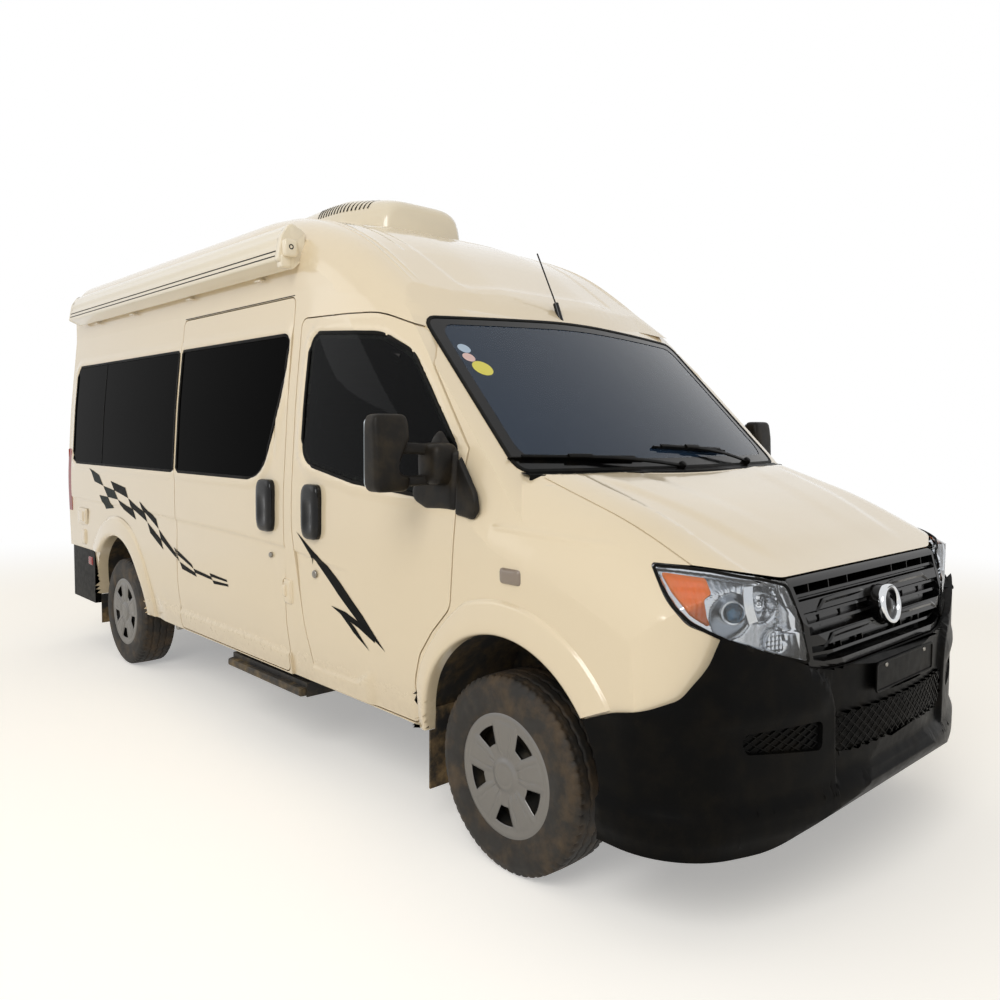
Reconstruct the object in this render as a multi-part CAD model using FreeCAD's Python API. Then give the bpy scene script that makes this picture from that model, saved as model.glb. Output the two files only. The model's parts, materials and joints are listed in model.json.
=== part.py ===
"""High-roof camper van as an assembly of separate solids.

Millimetres. +X points forwards, +Y to the left, +Z up. The origin is on the ground, under the middle
of the vehicle's length and width. Places along the vehicle are given as distances ahead of the front
axle and turned into X by ahead(). Every sub-part is written to parts/NODE.step.
"""
import FreeCAD, Part

import math
import os

from FreeCAD import Vector

os.makedirs("parts", exist_ok=True)

# ---------------------------------------------------------------- driving sizes
wheelbase = 3578.0
front_overhang = 942.0
rear_overhang = 996.0
length = front_overhang + wheelbase + rear_overhang
front_axle_x = length / 2 - front_overhang
rear_axle_x = front_axle_x - wheelbase

belt_half_width = 997.0          # the widest line of the sides
belt_height = 1180.0
sill_height = 390.0              # lower edge of the sides
roof_crown = 2590.0
gutter_height = 2140.0           # seam between the sides and the roof

tyre_radius = 340.0
tyre_width = 215.0
rim_radius = 203.0
track = 1706.0

panel_gap = 6.0                  # between neighbouring outer panels
seal_clearance = 0.3             # between a shut door and the flange it rests on
door_thickness = 45.0
wall_thickness = 60.0
wing_thickness = 25.0
glass_thickness = 6.0
flange_width = 25.0              # how far a flange reaches behind a door

half_track = track / 2
rear_face = -(wheelbase + rear_overhang - 29.0)      # rear doors, ahead of the front axle

nodes = {}


def ahead(distance):
    """X of a place given as its distance ahead of the front axle."""
    return front_axle_x + distance


# ---------------------------------------------------------------- drawing helpers
def place(plane, a, b, level):
    """A point from two coordinates in a plane and the level of that plane."""
    if plane == "xz":
        return Vector(a, level, b)
    if plane == "xy":
        return Vector(a, b, level)
    return Vector(level, a, b)


def fitted(corners):
    """The corners, with each radius made smaller where its arc would run past the arcs beside it."""
    count = len(corners)
    points = [Vector(a, b, 0) for a, b, radius in corners]
    reaches = []
    for i in range(count):
        half = (points[i - 1] - points[i]).getAngle(points[(i + 1) % count] - points[i]) / 2
        reaches.append(max(corners[i][2], 0.0) / math.tan(half))
    shares = [1.0] * count
    for i in range(count):
        after = (i + 1) % count
        share = (points[after] - points[i]).Length / max(reaches[i] + reaches[after], 1e-6)
        shares[i] = min(shares[i], share)
        shares[after] = min(shares[after], share)
    return [(a, b, radius * shares[i]) for i, (a, b, radius) in enumerate(corners)]


def outline(plane, corners, level=0.0):
    """Closed wire through corners (a, b, radius), each rounded by a tangent arc."""
    corners = fitted(corners)
    count = len(corners)
    starts, ends, mids = [], [], []
    for i in range(count):
        a, b, radius = corners[i]
        here = Vector(a, b, 0)
        before = Vector(corners[i - 1][0], corners[i - 1][1], 0) - here
        after = Vector(corners[(i + 1) % count][0], corners[(i + 1) % count][1], 0) - here
        before.normalize()
        after.normalize()
        half = before.getAngle(after) / 2
        if radius <= 0 or half > math.pi / 2 - 1e-4:
            starts.append(here)
            ends.append(here)
            mids.append(None)
            continue
        reach = radius / math.tan(half)
        inward = before + after
        inward.normalize()
        starts.append(here + before * reach)
        ends.append(here + after * reach)
        mids.append(here + inward * (radius / math.sin(half) - radius))
    edges = []
    for i in range(count):
        if mids[i] is not None:
            trio = [place(plane, p.x, p.y, level) for p in (starts[i], mids[i], ends[i])]
            edges.append(Part.Arc(*trio).toShape())
        one, two = ends[i], starts[(i + 1) % count]
        if (one - two).Length > 1e-3:
            edges.append(Part.makeLine(place(plane, one.x, one.y, level), place(plane, two.x, two.y, level)))
    return Part.Wire(Part.__sortEdges__(edges))


def prism(plane, corners, low, high):
    """Solid between two levels across a plane, from a rounded outline."""
    if plane == "xz":
        along = Vector(0, high - low, 0)
    elif plane == "xy":
        along = Vector(0, 0, high - low)
    else:
        along = Vector(high - low, 0, 0)
    return Part.Face(outline(plane, corners, low)).extrude(along)


def box(x0, x1, y0, y1, z0, z1):
    """Box between two corners."""
    return Part.makeBox(x1 - x0, y1 - y0, z1 - z0, Vector(x0, y0, z0))


def rod(start, end, radius, inner=0.0):
    """Round bar or tube from one point to another."""
    start, end = Vector(*start), Vector(*end)
    along = end - start
    bar = Part.makeCylinder(radius, along.Length, start, along)
    if inner:
        bar = bar.cut(Part.makeCylinder(inner, along.Length, start, along))
    return bar


def fuse(*shapes):
    """One solid from several, with seams between coplanar faces removed."""
    joined = shapes[0]
    for shape in shapes[1:]:
        joined = joined.fuse(shape)
    return joined.removeSplitter()


def mirrored(shape):
    """The same shape on the other side of the vehicle."""
    return shape.mirror(Vector(0, 0, 0), Vector(0, 1, 0))


def placed(corners):
    """Corners given ahead of the front axle, with their X in the vehicle's frame."""
    return [(ahead(a), b, radius) for a, b, radius in corners]


def grown(corners, amount):
    """An outline moved outwards by an amount, or inwards if it is negative."""
    wire = outline("xy", corners)
    centre = wire.BoundBox.Center
    moved = []
    count = len(corners)
    area = sum(corners[i][0] * corners[(i + 1) % count][1] - corners[(i + 1) % count][0] * corners[i][1]
               for i in range(count))
    turn = 1.0 if area > 0 else -1.0
    for i in range(count):
        a, b, radius = corners[i]
        before = Vector(a - corners[i - 1][0], b - corners[i - 1][1], 0)
        after = Vector(corners[(i + 1) % count][0] - a, corners[(i + 1) % count][1] - b, 0)
        before.normalize()
        after.normalize()
        out_before = Vector(before.y * turn, -before.x * turn, 0)
        out_after = Vector(after.y * turn, -after.x * turn, 0)
        middle = out_before + out_after
        middle.normalize()
        step = amount / max(middle.dot(out_before), 0.3)
        convex = before.cross(after).z * turn > 0
        new_radius = max(radius + (amount if convex else -amount), 1.0) if radius else 0.0
        moved.append((a + middle.x * step, b + middle.y * step, new_radius))
    return moved


def save(name, shape):
    """Keep a sub-part under its node's name."""
    nodes[name] = shape


# ---------------------------------------------------------------- the body's envelope
rake_run = 649.0                 # the windscreen runs this far forwards ...
rake_drop = 642.0                # ... while it drops this far
screen_base_height = 1350.0
screen_foot = screen_base_height + 14    # lower edge of the glass
bonnet_knee = 430.0              # where the bonnet starts to fall faster
bonnet_knee_height = screen_base_height - 102
screen_base_middle = 77.0        # ahead of the front axle, at the base height
screen_base_side = -37.0
screen_base_half = 867.0
screen_corner = -150.0           # where the corner of the windscreen has turned into the side
bonnet_front = 800.0
bonnet_front_height = 1068.0
nose_front = 912.0
corner_radius = 330.0            # of the nose, seen from above
bumper_corner = 290.0
nose_curve_radius = 2150.0
cap_turn = -1404.0               # the level roof and the falling cap would meet here
cap_radius = 1700.0              # of the arc between them
cap_slope = math.radians(34.5)
shoulder_half = 858.0            # the roof's shoulder, before it is rounded
shoulder_drop = 45.0             # of the shoulder below the crown
shoulder_height = roof_crown - shoulder_drop
shoulder_radius = 200.0
crown_half = 300.0               # of the level middle of the roof
crown_radius = 1500.0            # where the level middle turns down
wing_shoulder = 330.0            # radius of the wings' tops
scuttle_slope = 0.327            # fall of the wings' tops beside the windscreen


def screen_plane(height):
    """How far ahead of the front axle the middle of the windscreen's plane is at a height."""
    return screen_base_middle + (screen_base_height - height) * rake_run / rake_drop


def side_section(k):
    """Prism of the sides, leaning in above and below the belt; k is the inset from the skin."""
    half = [(928, 250, 0), (984, 640, 900), (belt_half_width, belt_height, 2500), (968, 1640, 4000),
            (917, gutter_height, 100), (915, roof_crown + 210, 0)]
    right = [(-(y - k), z, radius) for y, z, radius in half]
    left = [(y - k, z, radius) for y, z, radius in reversed(half)]
    solid = prism("yz", right + left, ahead(rear_face + k), ahead(nose_front + 60))
    return solid


def roof_sweep(k):
    """Roof section with rounded shoulders and crown, carried along the falling line of the roof."""
    lean = 0.35
    foot = belt_height - 50
    foot_half = shoulder_half + (shoulder_height - foot) * lean
    turn = shoulder_radius - k / 2
    corners = [(-(foot_half - k), foot, 0), (-(shoulder_half - k), shoulder_height - k, turn),
               (-crown_half, roof_crown - k, crown_radius), (crown_half, roof_crown - k, crown_radius),
               (shoulder_half - k, shoulder_height - k, turn), (foot_half - k, foot, 0)]
    start = ahead(rear_face + k)
    face = Part.Face(outline("yz", corners, start))
    depth = 35.0                 # of the path below the crown
    level = roof_crown - depth
    turn_x = cap_turn - depth * math.tan(cap_slope / 2)
    reach = 2500.0
    toe = Vector(ahead(turn_x + reach), 0, level - reach * math.tan(cap_slope))
    points = [Vector(start, 0, level), Vector(ahead(turn_x), 0, level), toe]
    path = open_path(points, [0, cap_radius - depth, 0])
    return path.makePipe(face)


def open_path(points, radii):
    """Wire of straight runs joined by tangent arcs."""
    edges = []
    last = points[0]
    for i in range(1, len(points) - 1):
        here = points[i]
        before = points[i - 1] - here
        after = points[i + 1] - here
        before.normalize()
        after.normalize()
        half = before.getAngle(after) / 2
        reach = radii[i] / math.tan(half)
        inward = before + after
        inward.normalize()
        start, end = here + before * reach, here + after * reach
        edges.append(Part.makeLine(last, start))
        edges.append(Part.Arc(start, here + inward * (radii[i] / math.sin(half) - radii[i]), end).toShape())
        last = end
    edges.append(Part.makeLine(last, points[-1]))
    return Part.Wire(edges)


def greenhouse(k):
    """Everything behind the windscreen: its plan outline, slid along the windscreen's rake."""
    low, high = screen_base_height - 230, roof_crown + 190
    slide = rake_run / rake_drop
    shift = (screen_base_height - low) * slide
    inset = k * math.hypot(rake_run, rake_drop) / rake_drop

    def at(distance, y):
        return Vector(ahead(distance) + shift - inset, y, low)

    side, half, wide = screen_base_side, screen_base_half, 1012.0
    bend = Vector(1, 1, 0) * 18
    edges = [Part.Arc(at(side, -half), at(screen_base_middle, 0), at(side, half)).toShape()]
    for sign in (1, -1):
        middle = at((side + screen_corner) / 2, sign * (half + wide) / 2)
        middle += Vector(bend.x, sign * bend.y, 0)
        edges.append(Part.Arc(at(side, sign * half), middle, at(screen_corner, sign * wide)).toShape())
        edges.append(Part.makeLine(at(screen_corner, sign * wide), at(-7000, sign * wide)))
    edges.append(Part.makeLine(at(-7000, wide), at(-7000, -wide)))
    face = Part.Face(Part.Wire(Part.__sortEdges__(edges)))
    return face.extrude(Vector(-(high - low) * slide, 0, high - low))


def nose_plan(k, front, corner, low, high, half=None, back=None):
    """Upright prism with the bowed front and round corners of the nose."""
    half = belt_half_width + 12 if half is None else half
    back = rear_face + k if back is None else back
    front -= k
    half -= k
    bow = nose_curve_radius
    centre_y = half - corner
    turn = math.asin(centre_y / (bow - corner))
    centre_x = front - bow + (bow - corner) * math.cos(turn)

    def at(x, y):
        return Vector(ahead(x), y, low)

    def on_bow(angle):
        return front - bow + bow * math.cos(angle), bow * math.sin(angle)

    edges = [Part.Arc(at(*on_bow(-turn)), at(front, 0), at(*on_bow(turn))).toShape()]
    middle = (turn + math.pi / 2) / 2
    for sign in (1, -1):
        x1, y1 = on_bow(turn)
        xm = centre_x + corner * math.cos(middle)
        ym = centre_y + corner * math.sin(middle)
        arc = Part.Arc(at(x1, sign * y1), at(xm, sign * ym), at(centre_x, sign * half))
        edges.append(arc.toShape())
        edges.append(Part.makeLine(at(centre_x, sign * half), at(back, sign * half)))
    edges.append(Part.makeLine(at(back, half), at(back, -half)))
    return Part.Face(Part.Wire(Part.__sortEdges__(edges))).extrude(Vector(0, 0, high - low))


def lower_body(k):
    """The body below the windscreen: bonnet line in side view, nose in plan, rounded wing tops."""
    top = screen_base_height + 12
    profile = placed([(rear_face - 30, 250, 0), (rear_face - 30, top, 0), (110, top - k, 0),
                      (bonnet_knee, bonnet_knee_height - k, 1800), (bonnet_front, bonnet_front_height - k, 45),
                      (880 - k, 850, 300), (905 - k, 600, 300), (880 - k, 250, 0)])
    side = prism("xz", profile, -1100, 1100)
    return nose_plan(k, nose_front, corner_radius, 250, top + 5).common(side).common(wing_tops(k))


def wing_tops(k):
    """Rounded shoulders carried along the falling line of the bonnet."""
    half = belt_half_width + 1 - k
    slope = (bonnet_knee_height - bonnet_front_height) / (bonnet_front - bonnet_knee)
    start = Vector(ahead(bonnet_knee - 850), 0, bonnet_knee_height + 850 * scuttle_slope)
    middle = Vector(ahead(bonnet_knee), 0, bonnet_knee_height)
    toe = Vector(ahead(bonnet_knee + 870), 0, bonnet_knee_height - 870 * slope)
    corners = [(-half, start.z - 1400, 0), (-half, start.z - k, wing_shoulder - k / 2),
               (half, start.z - k, wing_shoulder - k / 2), (half, start.z - 1400, 0)]
    tops = open_path([start, middle, toe], [0, 1800, 0]).makePipe(Part.Face(outline("yz", corners, start.x)))
    return tops.fuse(box(ahead(-7000), start.x, -1200, 1200, 200, screen_base_height + 150))


def body(k):
    """The body's solid form, inset by k from its skin."""
    sides = side_section(k)
    upper = roof_sweep(k).common(sides).common(greenhouse(k))
    return upper.fuse(lower_body(k).common(sides))


# ---------------------------------------------------------------- openings, as outlines on the panels
# Side view, as distance ahead of the front axle, height, corner radius.
front_door_back = -1358.0
sliding_door_front = -1424.0
sliding_door_back = -2655.0
door_foot = sill_height + 5.0
front_door_line = placed([(front_door_back, 2012, 45), (front_door_back, 1050, 500), (-1212, door_foot, 30),
                          (-472, door_foot, 30), (-472, 560, 120), (-425, 680, 120), (-352, 775, 200),
                          (-245, 880, 90), (-206, 1250, 900), (-206, 1450, 20), (-585, 1918, 170),
                          (-800, 1992, 500)])
front_glass_line = placed([(-1262, 1938, 70), (-1280, 1372, 90), (-860, 1302, 300), (-262, 1262, 20),
                           (-262, 1450, 30), (-570, 1812, 180), (-760, 1900, 300)])
sliding_door_line = placed([(sliding_door_back, 2118, 40), (sliding_door_back, door_foot, 40),
                            (sliding_door_front, door_foot, 40), (sliding_door_front, 2118, 40)])
window_foot = 1280.0
window_head = 1946.0
panel_window_line = placed([(-4430, window_head, 60), (-4430, window_foot, 60),
                            (sliding_door_back - 22, window_foot, 12),
                            (sliding_door_back - 22, window_head, 12)])
sliding_window_line = placed([(sliding_door_back + 22, window_head, 12),
                              (sliding_door_back + 22, window_foot, 12),
                              (-1640, window_foot, 190), (-1478, 1700, 700), (-1444, window_head, 45)])
left_window_line = placed([(-4430, window_head, 60), (-4430, window_foot, 60), (-1640, window_foot, 190),
                           (-1478, 1700, 700), (-1444, window_head, 45)])

# Front view, as distance from the middle, height, corner radius.
screen_line = [(-848, screen_foot, 50), (848, screen_foot, 50), (812, 1962, 60), (0, 1999, 4500),
               (-812, 1962, 60)]
lamp_inner_foot = (500, 808)
lamp_inner_head = (555, 1070)
lamp_outer_foot = (860, 942)
lamp_outer_head = (870, 1128)
bumper_top = 795.0
# Seen at 45 degrees to the nose: distance along the nose's corner, height, corner radius.
lamp_line = [(-238, 1126, 10), (-207, 1030, 150), (-150, 966, 80), (250, 812, 12), (174, 1067, 12),
             (-80, 1118, 400)]
rear_door_foot = 532.0
rear_door_head = 2290.0
rear_door_half = 898.0
rear_door_line = [(panel_gap / 2, rear_door_foot, 8), (rear_door_half, rear_door_foot, 60),
                  (rear_door_half - 8, 1250, 2500), (rear_door_half - 70, rear_door_head, 90),
                  (panel_gap / 2, rear_door_head, 8)]
rear_glass_line = [(115, 1290, 50), (790, 1290, 60), (760, 1930, 70), (115, 1930, 50)]

roof_seam_line = placed([(-4900, gutter_height, 0), (-1300, gutter_height, 600), (-640, 2012, 0),
                         (900, 1500, 0),
                         (900, roof_crown + 410, 0), (-4900, roof_crown + 410, 0)])
wing_head = screen_base_height - 20
panel_line_top = screen_base_height + 150    # safely above every panel in front of the windscreen
slam_back, slam_front = 440.0, 490.0    # cross panel the bonnet shuts on
slam_depth = 40.0
wing_back_line = placed([(-400, wing_head, 0), (-550, 900, 0), (-550, 200, 0), (1300, 200, 0),
                         (1300, wing_head, 0)])
bumper_side_line = placed([(-300, 200, 0), (-300, 400, 0), (384, 640, 0), (500, 690, 200), (605, 716, 300),
                           (692, 760, 70), (745, 850, 200), (768, 946, 0), (768, 1400, 0), (1400, 1400, 0),
                           (1400, 200, 0)])
bumper_front_line = [(-1200, lamp_outer_foot[1], 0), (-lamp_outer_foot[0], lamp_outer_foot[1], 25),
                     (-lamp_inner_foot[0], lamp_inner_foot[1], 40), (-440, bumper_top, 60),
                     (440, bumper_top, 60), (lamp_inner_foot[0], lamp_inner_foot[1], 40),
                     (lamp_outer_foot[0], lamp_outer_foot[1], 25), (1200, lamp_outer_foot[1], 0),
                     (1200, 100, 0), (-1200, 100, 0)]
bonnet_half = 797.0
bonnet_back = screen_base_middle + 41
cowl_width = 34.0                # of the strip between the windscreen and the bonnet
bonnet_front_line = [(-1200, lamp_outer_head[1], 0), (-lamp_outer_head[0], lamp_outer_head[1], 0),
                     (-lamp_inner_head[0], lamp_inner_head[1], 300),
                     (lamp_inner_head[0], lamp_inner_head[1], 300),
                     (lamp_outer_head[0], lamp_outer_head[1], 0), (1200, lamp_outer_head[1], 0),
                     (1200, panel_line_top, 0), (-1200, panel_line_top, 0)]

pillar_inner = 820.0             # side openings reach in as far as this from the middle
arch_radius = 434.0
flare_radius = 552.0
flare_face = 992.0
flare_back = 935.0
arch_height = 395.0
front_arch_x = ahead(20)
rear_arch_x = rear_axle_x - 20
housing_thickness = 8.0
housing_radius = arch_radius + 10 + housing_thickness


def right_side(corners):
    """Prism of a side-view outline through the right side's wall."""
    return prism("xz", corners, -1200, -pillar_inner)


def wheel_disc(x, radius, y0, y1):
    """Upright disc centred on a wheel arch."""
    return Part.makeCylinder(radius, y1 - y0, Vector(x, y0, arch_height), Vector(0, 1, 0))


def flare(x):
    """Raised lip round a wheel arch on the left side."""
    ring = Part.makeCone(flare_radius, flare_radius - 45, flare_face - flare_back,
                         Vector(x, flare_back, arch_height), Vector(0, 1, 0))
    ring = ring.cut(wheel_disc(x, arch_radius, flare_back - 1, flare_face + 1))
    return ring.common(box(x - 700, x + 700, 0, 1200, sill_height, 1500))


skin = body(0)
cabin = body(wall_thickness)
door_back = body(door_thickness)
seat_form = body(door_thickness + seal_clearance)
glass_back = body(glass_thickness)
shell = skin.cut(cabin)
above_sill = box(-4000, 4000, -1500, 1500, sill_height, 3500)
shell = shell.common(above_sill)
door_shell = skin.cut(door_back)
glass_shell = skin.cut(glass_back)


def opened(frame, line, cutter, back_form):
    """Cut an opening for a panel that rests on a flange behind it."""
    recess = cutter(grown(line, 0.0)).cut(back_form)
    through = cutter(grown(line, -flange_width))
    return frame.cut(recess).cut(through)


def lamp_cutter(corners):
    """Prism of a headlamp's outline through the right corner of the nose, at 45 degrees."""
    tool = prism("yz", corners, ahead(500), ahead(1500))
    tool.rotate(Vector(ahead(0), 0, 0), Vector(0, 0, 1), -45)
    return tool


def screen_cutter(corners):
    """Prism of a front-view outline through the windscreen and the front of the cab."""
    return prism("yz", corners, ahead(-1300), ahead(400))


# The rear opening runs across both doors, with no post in the middle.
rear_opening = [(-y, z, radius) for y, z, radius in rear_door_line[1:4]]
rear_opening = rear_opening + [(y, z, radius) for y, z, radius in reversed(rear_door_line[1:4])]


def rear_opening_cutter(corners):
    """Prism of a rear-view outline through the rear wall."""
    return prism("yz", corners, ahead(rear_face) - 100, ahead(rear_face) + 150)


# ---------------------------------------------------------------- body shell, split where its panels meet
def make_shell():
    """Roof, side panels and cab frame, each as thick as the wall."""
    roof_zone = prism("xz", roof_seam_line, -1400, 1400)
    wing_zone = prism("xz", wing_back_line, -1400, 1400)
    wing_zone = wing_zone.cut(box(-4000, 4000, -(bonnet_half + panel_gap), bonnet_half + panel_gap, 0, 3000))
    bumper_zone = box(ahead(-5200), ahead(rear_bumper_front), -1300, 1300, 0, rear_bumper_side_top)
    split = ahead(sliding_door_front + 7)

    roof = shell.common(roof_zone)
    roof = opened(roof, rear_opening, rear_opening_cutter, seat_form)
    roof = opened(roof, screen_line, screen_cutter, greenhouse(glass_thickness))
    save("roof_shell", roof)

    lower = shell.cut(roof_zone)
    left = lower.common(box(-4000, split, 0, 1400, 0, 3500)).cut(bumper_zone)
    left = opened(left, rear_opening, rear_opening_cutter, seat_form)
    left = left.cut(prism("xz", left_window_line, pillar_inner, 1200).cut(glass_back))
    left = left.cut(prism("xz", grown(left_window_line, -flange_width), 560, 1200))
    right = lower.common(box(-4000, split, -1400, 0, 0, 3500)).cut(bumper_zone)
    right = opened(right, rear_opening, rear_opening_cutter, seat_form)
    right = opened(right, sliding_door_line, right_side, seat_form)
    right = opened(right, panel_window_line, right_side, glass_back)
    arch = wheel_disc(rear_arch_x, arch_radius, 600, 1200)
    lip = flare(rear_arch_x).cut(cabin).cut(bumper_zone)
    save("side_panel_left", left.fuse(lip).cut(arch).cut(tail_lamp_block(1)))
    save("side_panel_right", right.fuse(mirrored(lip)).cut(mirrored(arch)).cut(tail_lamp_block(-1)))

    half = lower.common(box(split, ahead(bonnet_back), -1400, 0, 0, 3500)).cut(wing_zone)
    corner = box(-4000, 4000, -(bonnet_half + panel_gap), 0, 1000, wing_head + 70)
    corner = corner.cut(greenhouse(panel_gap - cowl_width))
    half = opened(half, front_door_line, right_side, seat_form)
    half = opened(half, screen_line, screen_cutter, greenhouse(glass_thickness))
    shelf = body(wing_thickness + seal_clearance).cut(body(wall_thickness))
    shelf = shelf.common(box(ahead(-80), ahead(bonnet_back) + 30, -bonnet_half + 30, 0, wing_head - 60,
                             wing_head + 70))
    half = half.cut(corner).fuse(shelf)
    save("cab_frame", half.fuse(mirrored(half)))


tail_lamp_foot = 935.0
tail_lamp_head = 1375.0
tail_lamp_inner = 906.0
tail_lamp_depth = 42.0
rear_bumper_front = -4034.0
rear_bumper_side_top = 686.0
rear_bumper_centre_top = 524.0


def tail_lamp_block(sign):
    """Where a tail lamp sits at a rear corner."""
    low, high = sorted((sign * tail_lamp_inner, sign * 1200))
    return box(ahead(rear_face) - 50, ahead(rear_face) + 62, low, high, tail_lamp_foot, tail_lamp_head)


def make_wings():
    """Front wings: thin shells with a lip round the wheel arch."""
    zone = prism("xz", wing_back_line, bonnet_half + panel_gap, 1400)
    zone = zone.common(above_sill)
    wing = skin.common(zone).cut(body(wing_thickness))
    lip = flare(front_arch_x).cut(body(wing_thickness))
    wing = wing.fuse(lip.common(zone))
    wing = wing.cut(prism("xz", bumper_side_line, 0, 1300))
    wing = wing.cut(prism("xz", front_door_line, 560, 1300))
    wing = wing.cut(wheel_disc(front_arch_x, arch_radius, 600, 1200))
    wing = wing.cut(mirrored(lamp_cutter(lamp_line)))
    under_bonnet = body(wing_thickness + seal_clearance).cut(body(slam_depth))
    reach = bonnet_half + 20
    slam = under_bonnet.common(box(ahead(slam_back), ahead(slam_front), -reach, reach, 900, wing_head + 70))
    end = body(wing_thickness / 2).cut(body(slam_depth))
    end = end.common(box(ahead(slam_back), ahead(slam_front), bonnet_half + panel_gap, reach, 900,
                         wing_head + 70))
    save("front_wings", fuse(wing, mirrored(wing), slam, end, mirrored(end)))


def make_bonnet():
    """Bonnet panel with a folded edge, hinged under the windscreen."""
    line = [(a, b + (panel_gap if b < panel_line_top else 0), radius) for a, b, radius in bonnet_front_line]
    zone = prism("yz", line, ahead(-200), ahead(1200))
    zone = zone.common(box(-4000, 4000, -bonnet_half, bonnet_half, 0, 3000)).cut(greenhouse(-cowl_width))
    save("bonnet", skin.common(zone).cut(body(wing_thickness)))


def make_glass():
    """Windscreen and the fixed side windows, flush with the skin."""
    pane = greenhouse(0).common(screen_cutter(grown(screen_line, -0.5)))
    save("windscreen", pane.cut(greenhouse(glass_thickness)))
    panes = [glass_shell.common(right_side(grown(panel_window_line, -0.5))),
             glass_shell.common(right_side(grown(sliding_window_line, -0.5))),
             glass_shell.common(prism("xz", grown(left_window_line, -0.5), 560, 1200))]
    save("side_windows", Part.makeCompound(panes))


handle_face = 1016.0             # outer face of the handles, from the middle of the vehicle
handle_root = 975.0
handle_foot = 1045.0
mirror_foot = screen_base_height - 50
mirror_head = mirror_foot + 268
mirror_front, mirror_back = -290.0, -380.0
mirror_inner, mirror_outer = 1123.0, 1272.0
mirror_arms = [(mirror_foot + 22, mirror_foot + 50), (mirror_foot + 132, mirror_foot + 162)]


def handle_block(x0, x1, head):
    """Raised grip of a door handle, standing off the right side."""
    round_end = (x1 - x0) / 2 - 1
    line = [(x0, handle_foot, round_end), (x1, handle_foot, round_end), (x1, head, round_end),
            (x0, head, round_end)]
    return prism("xz", placed(line), -handle_face, -handle_root)


def make_front_doors():
    """Hollow-windowed door leaf, its glass and its mirror, on each side."""
    leaf = door_shell.common(right_side(grown(front_door_line, -panel_gap)))
    leaf = leaf.cut(right_side(front_glass_line).cut(glass_back))
    leaf = leaf.cut(right_side(grown(front_glass_line, -flange_width)))
    handle = handle_block(-1231, -1103, 1275).cut(body(door_thickness / 2))
    leaf = leaf.fuse(handle)
    pane = glass_shell.common(right_side(grown(front_glass_line, -0.5)))
    head = prism("yz", [(-mirror_outer, mirror_foot, 45), (-mirror_inner, mirror_foot, 40),
                        (-mirror_inner, mirror_head, 45), (-mirror_outer, mirror_head, 55)],
                 ahead(mirror_back), ahead(mirror_front))
    arms = [box(ahead(mirror_front) - 40, ahead(mirror_front), -mirror_inner - 7, -940, low, high)
            for low, high in mirror_arms]
    sail = prism("xz", placed([(-330, mirror_foot - 30, 15), (-215, mirror_foot - 30, 15),
                               (-215, mirror_foot + 140, 15), (-330, mirror_foot + 200, 15)]), -1010, -940)
    mirror = fuse(head, *arms, sail).cut(skin)
    for name, side in (("right", lambda s: s), ("left", mirrored)):
        save("front_door_" + name, side(leaf))
        save("front_door_glass_" + name, side(pane))
        save("door_mirror_" + name, side(mirror))


def make_sliding_door():
    """Sliding door on the right side, shut on its flange."""
    leaf = door_shell.common(right_side(grown(sliding_door_line, -panel_gap)))
    leaf = leaf.cut(right_side(sliding_window_line).cut(glass_back))
    leaf = leaf.cut(right_side(grown(sliding_window_line, -flange_width)))
    handle = handle_block(-1645, -1508, 1280).cut(body(door_thickness / 2))
    save("sliding_door", leaf.fuse(handle))


def make_rear_doors():
    """Two rear doors with a window each."""
    leaf = door_shell.common(rear_opening_cutter(grown(rear_door_line, -panel_gap / 2)))
    leaf = leaf.cut(rear_opening_cutter(rear_glass_line).cut(glass_back))
    leaf = leaf.cut(rear_opening_cutter(grown(rear_glass_line, -flange_width)))
    pane = glass_shell.common(rear_opening_cutter(grown(rear_glass_line, -0.5)))
    for name, side in (("left", lambda s: s), ("right", mirrored)):
        save("rear_door_" + name, side(leaf))
        save("rear_door_glass_" + name, side(pane))


# ---------------------------------------------------------------- front end
bumper_front = front_overhang
bumper_thickness = 30.0
intake_line = [(-385, 530, 30), (385, 530, 30), (405, 652, 30), (-405, 652, 30)]
vent_line = [(480, 560, 20), (760, 590, 20), (790, 650, 25), (480, 650, 20)]
mesh_overlap = 7.0               # of the mesh behind the edge of its opening
mesh_front, mesh_back = 14.0, 22.0           # depths of the mesh behind the bumper's face
plate_half, plate_foot, plate_head = 228.0, 688.0, 785.0


def bumper_form(k):
    """Outer form of the front bumper, inset by k."""
    profile = placed([(200, 292 + k, 0), (840 - k, 292 + k, 60), (925 - k, 400, 90),
                      (bumper_front - k, 560, 300), (bumper_front - k, 770, 25), (880 - k, 835, 60),
                      (800 - k, 1010, 0), (200, 1010, 0)])
    side = prism("xz", profile, -1100, 1100)
    return nose_plan(k, bumper_front, bumper_corner, 200, 1020, half=990.0, back=-300.0).common(side)


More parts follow.
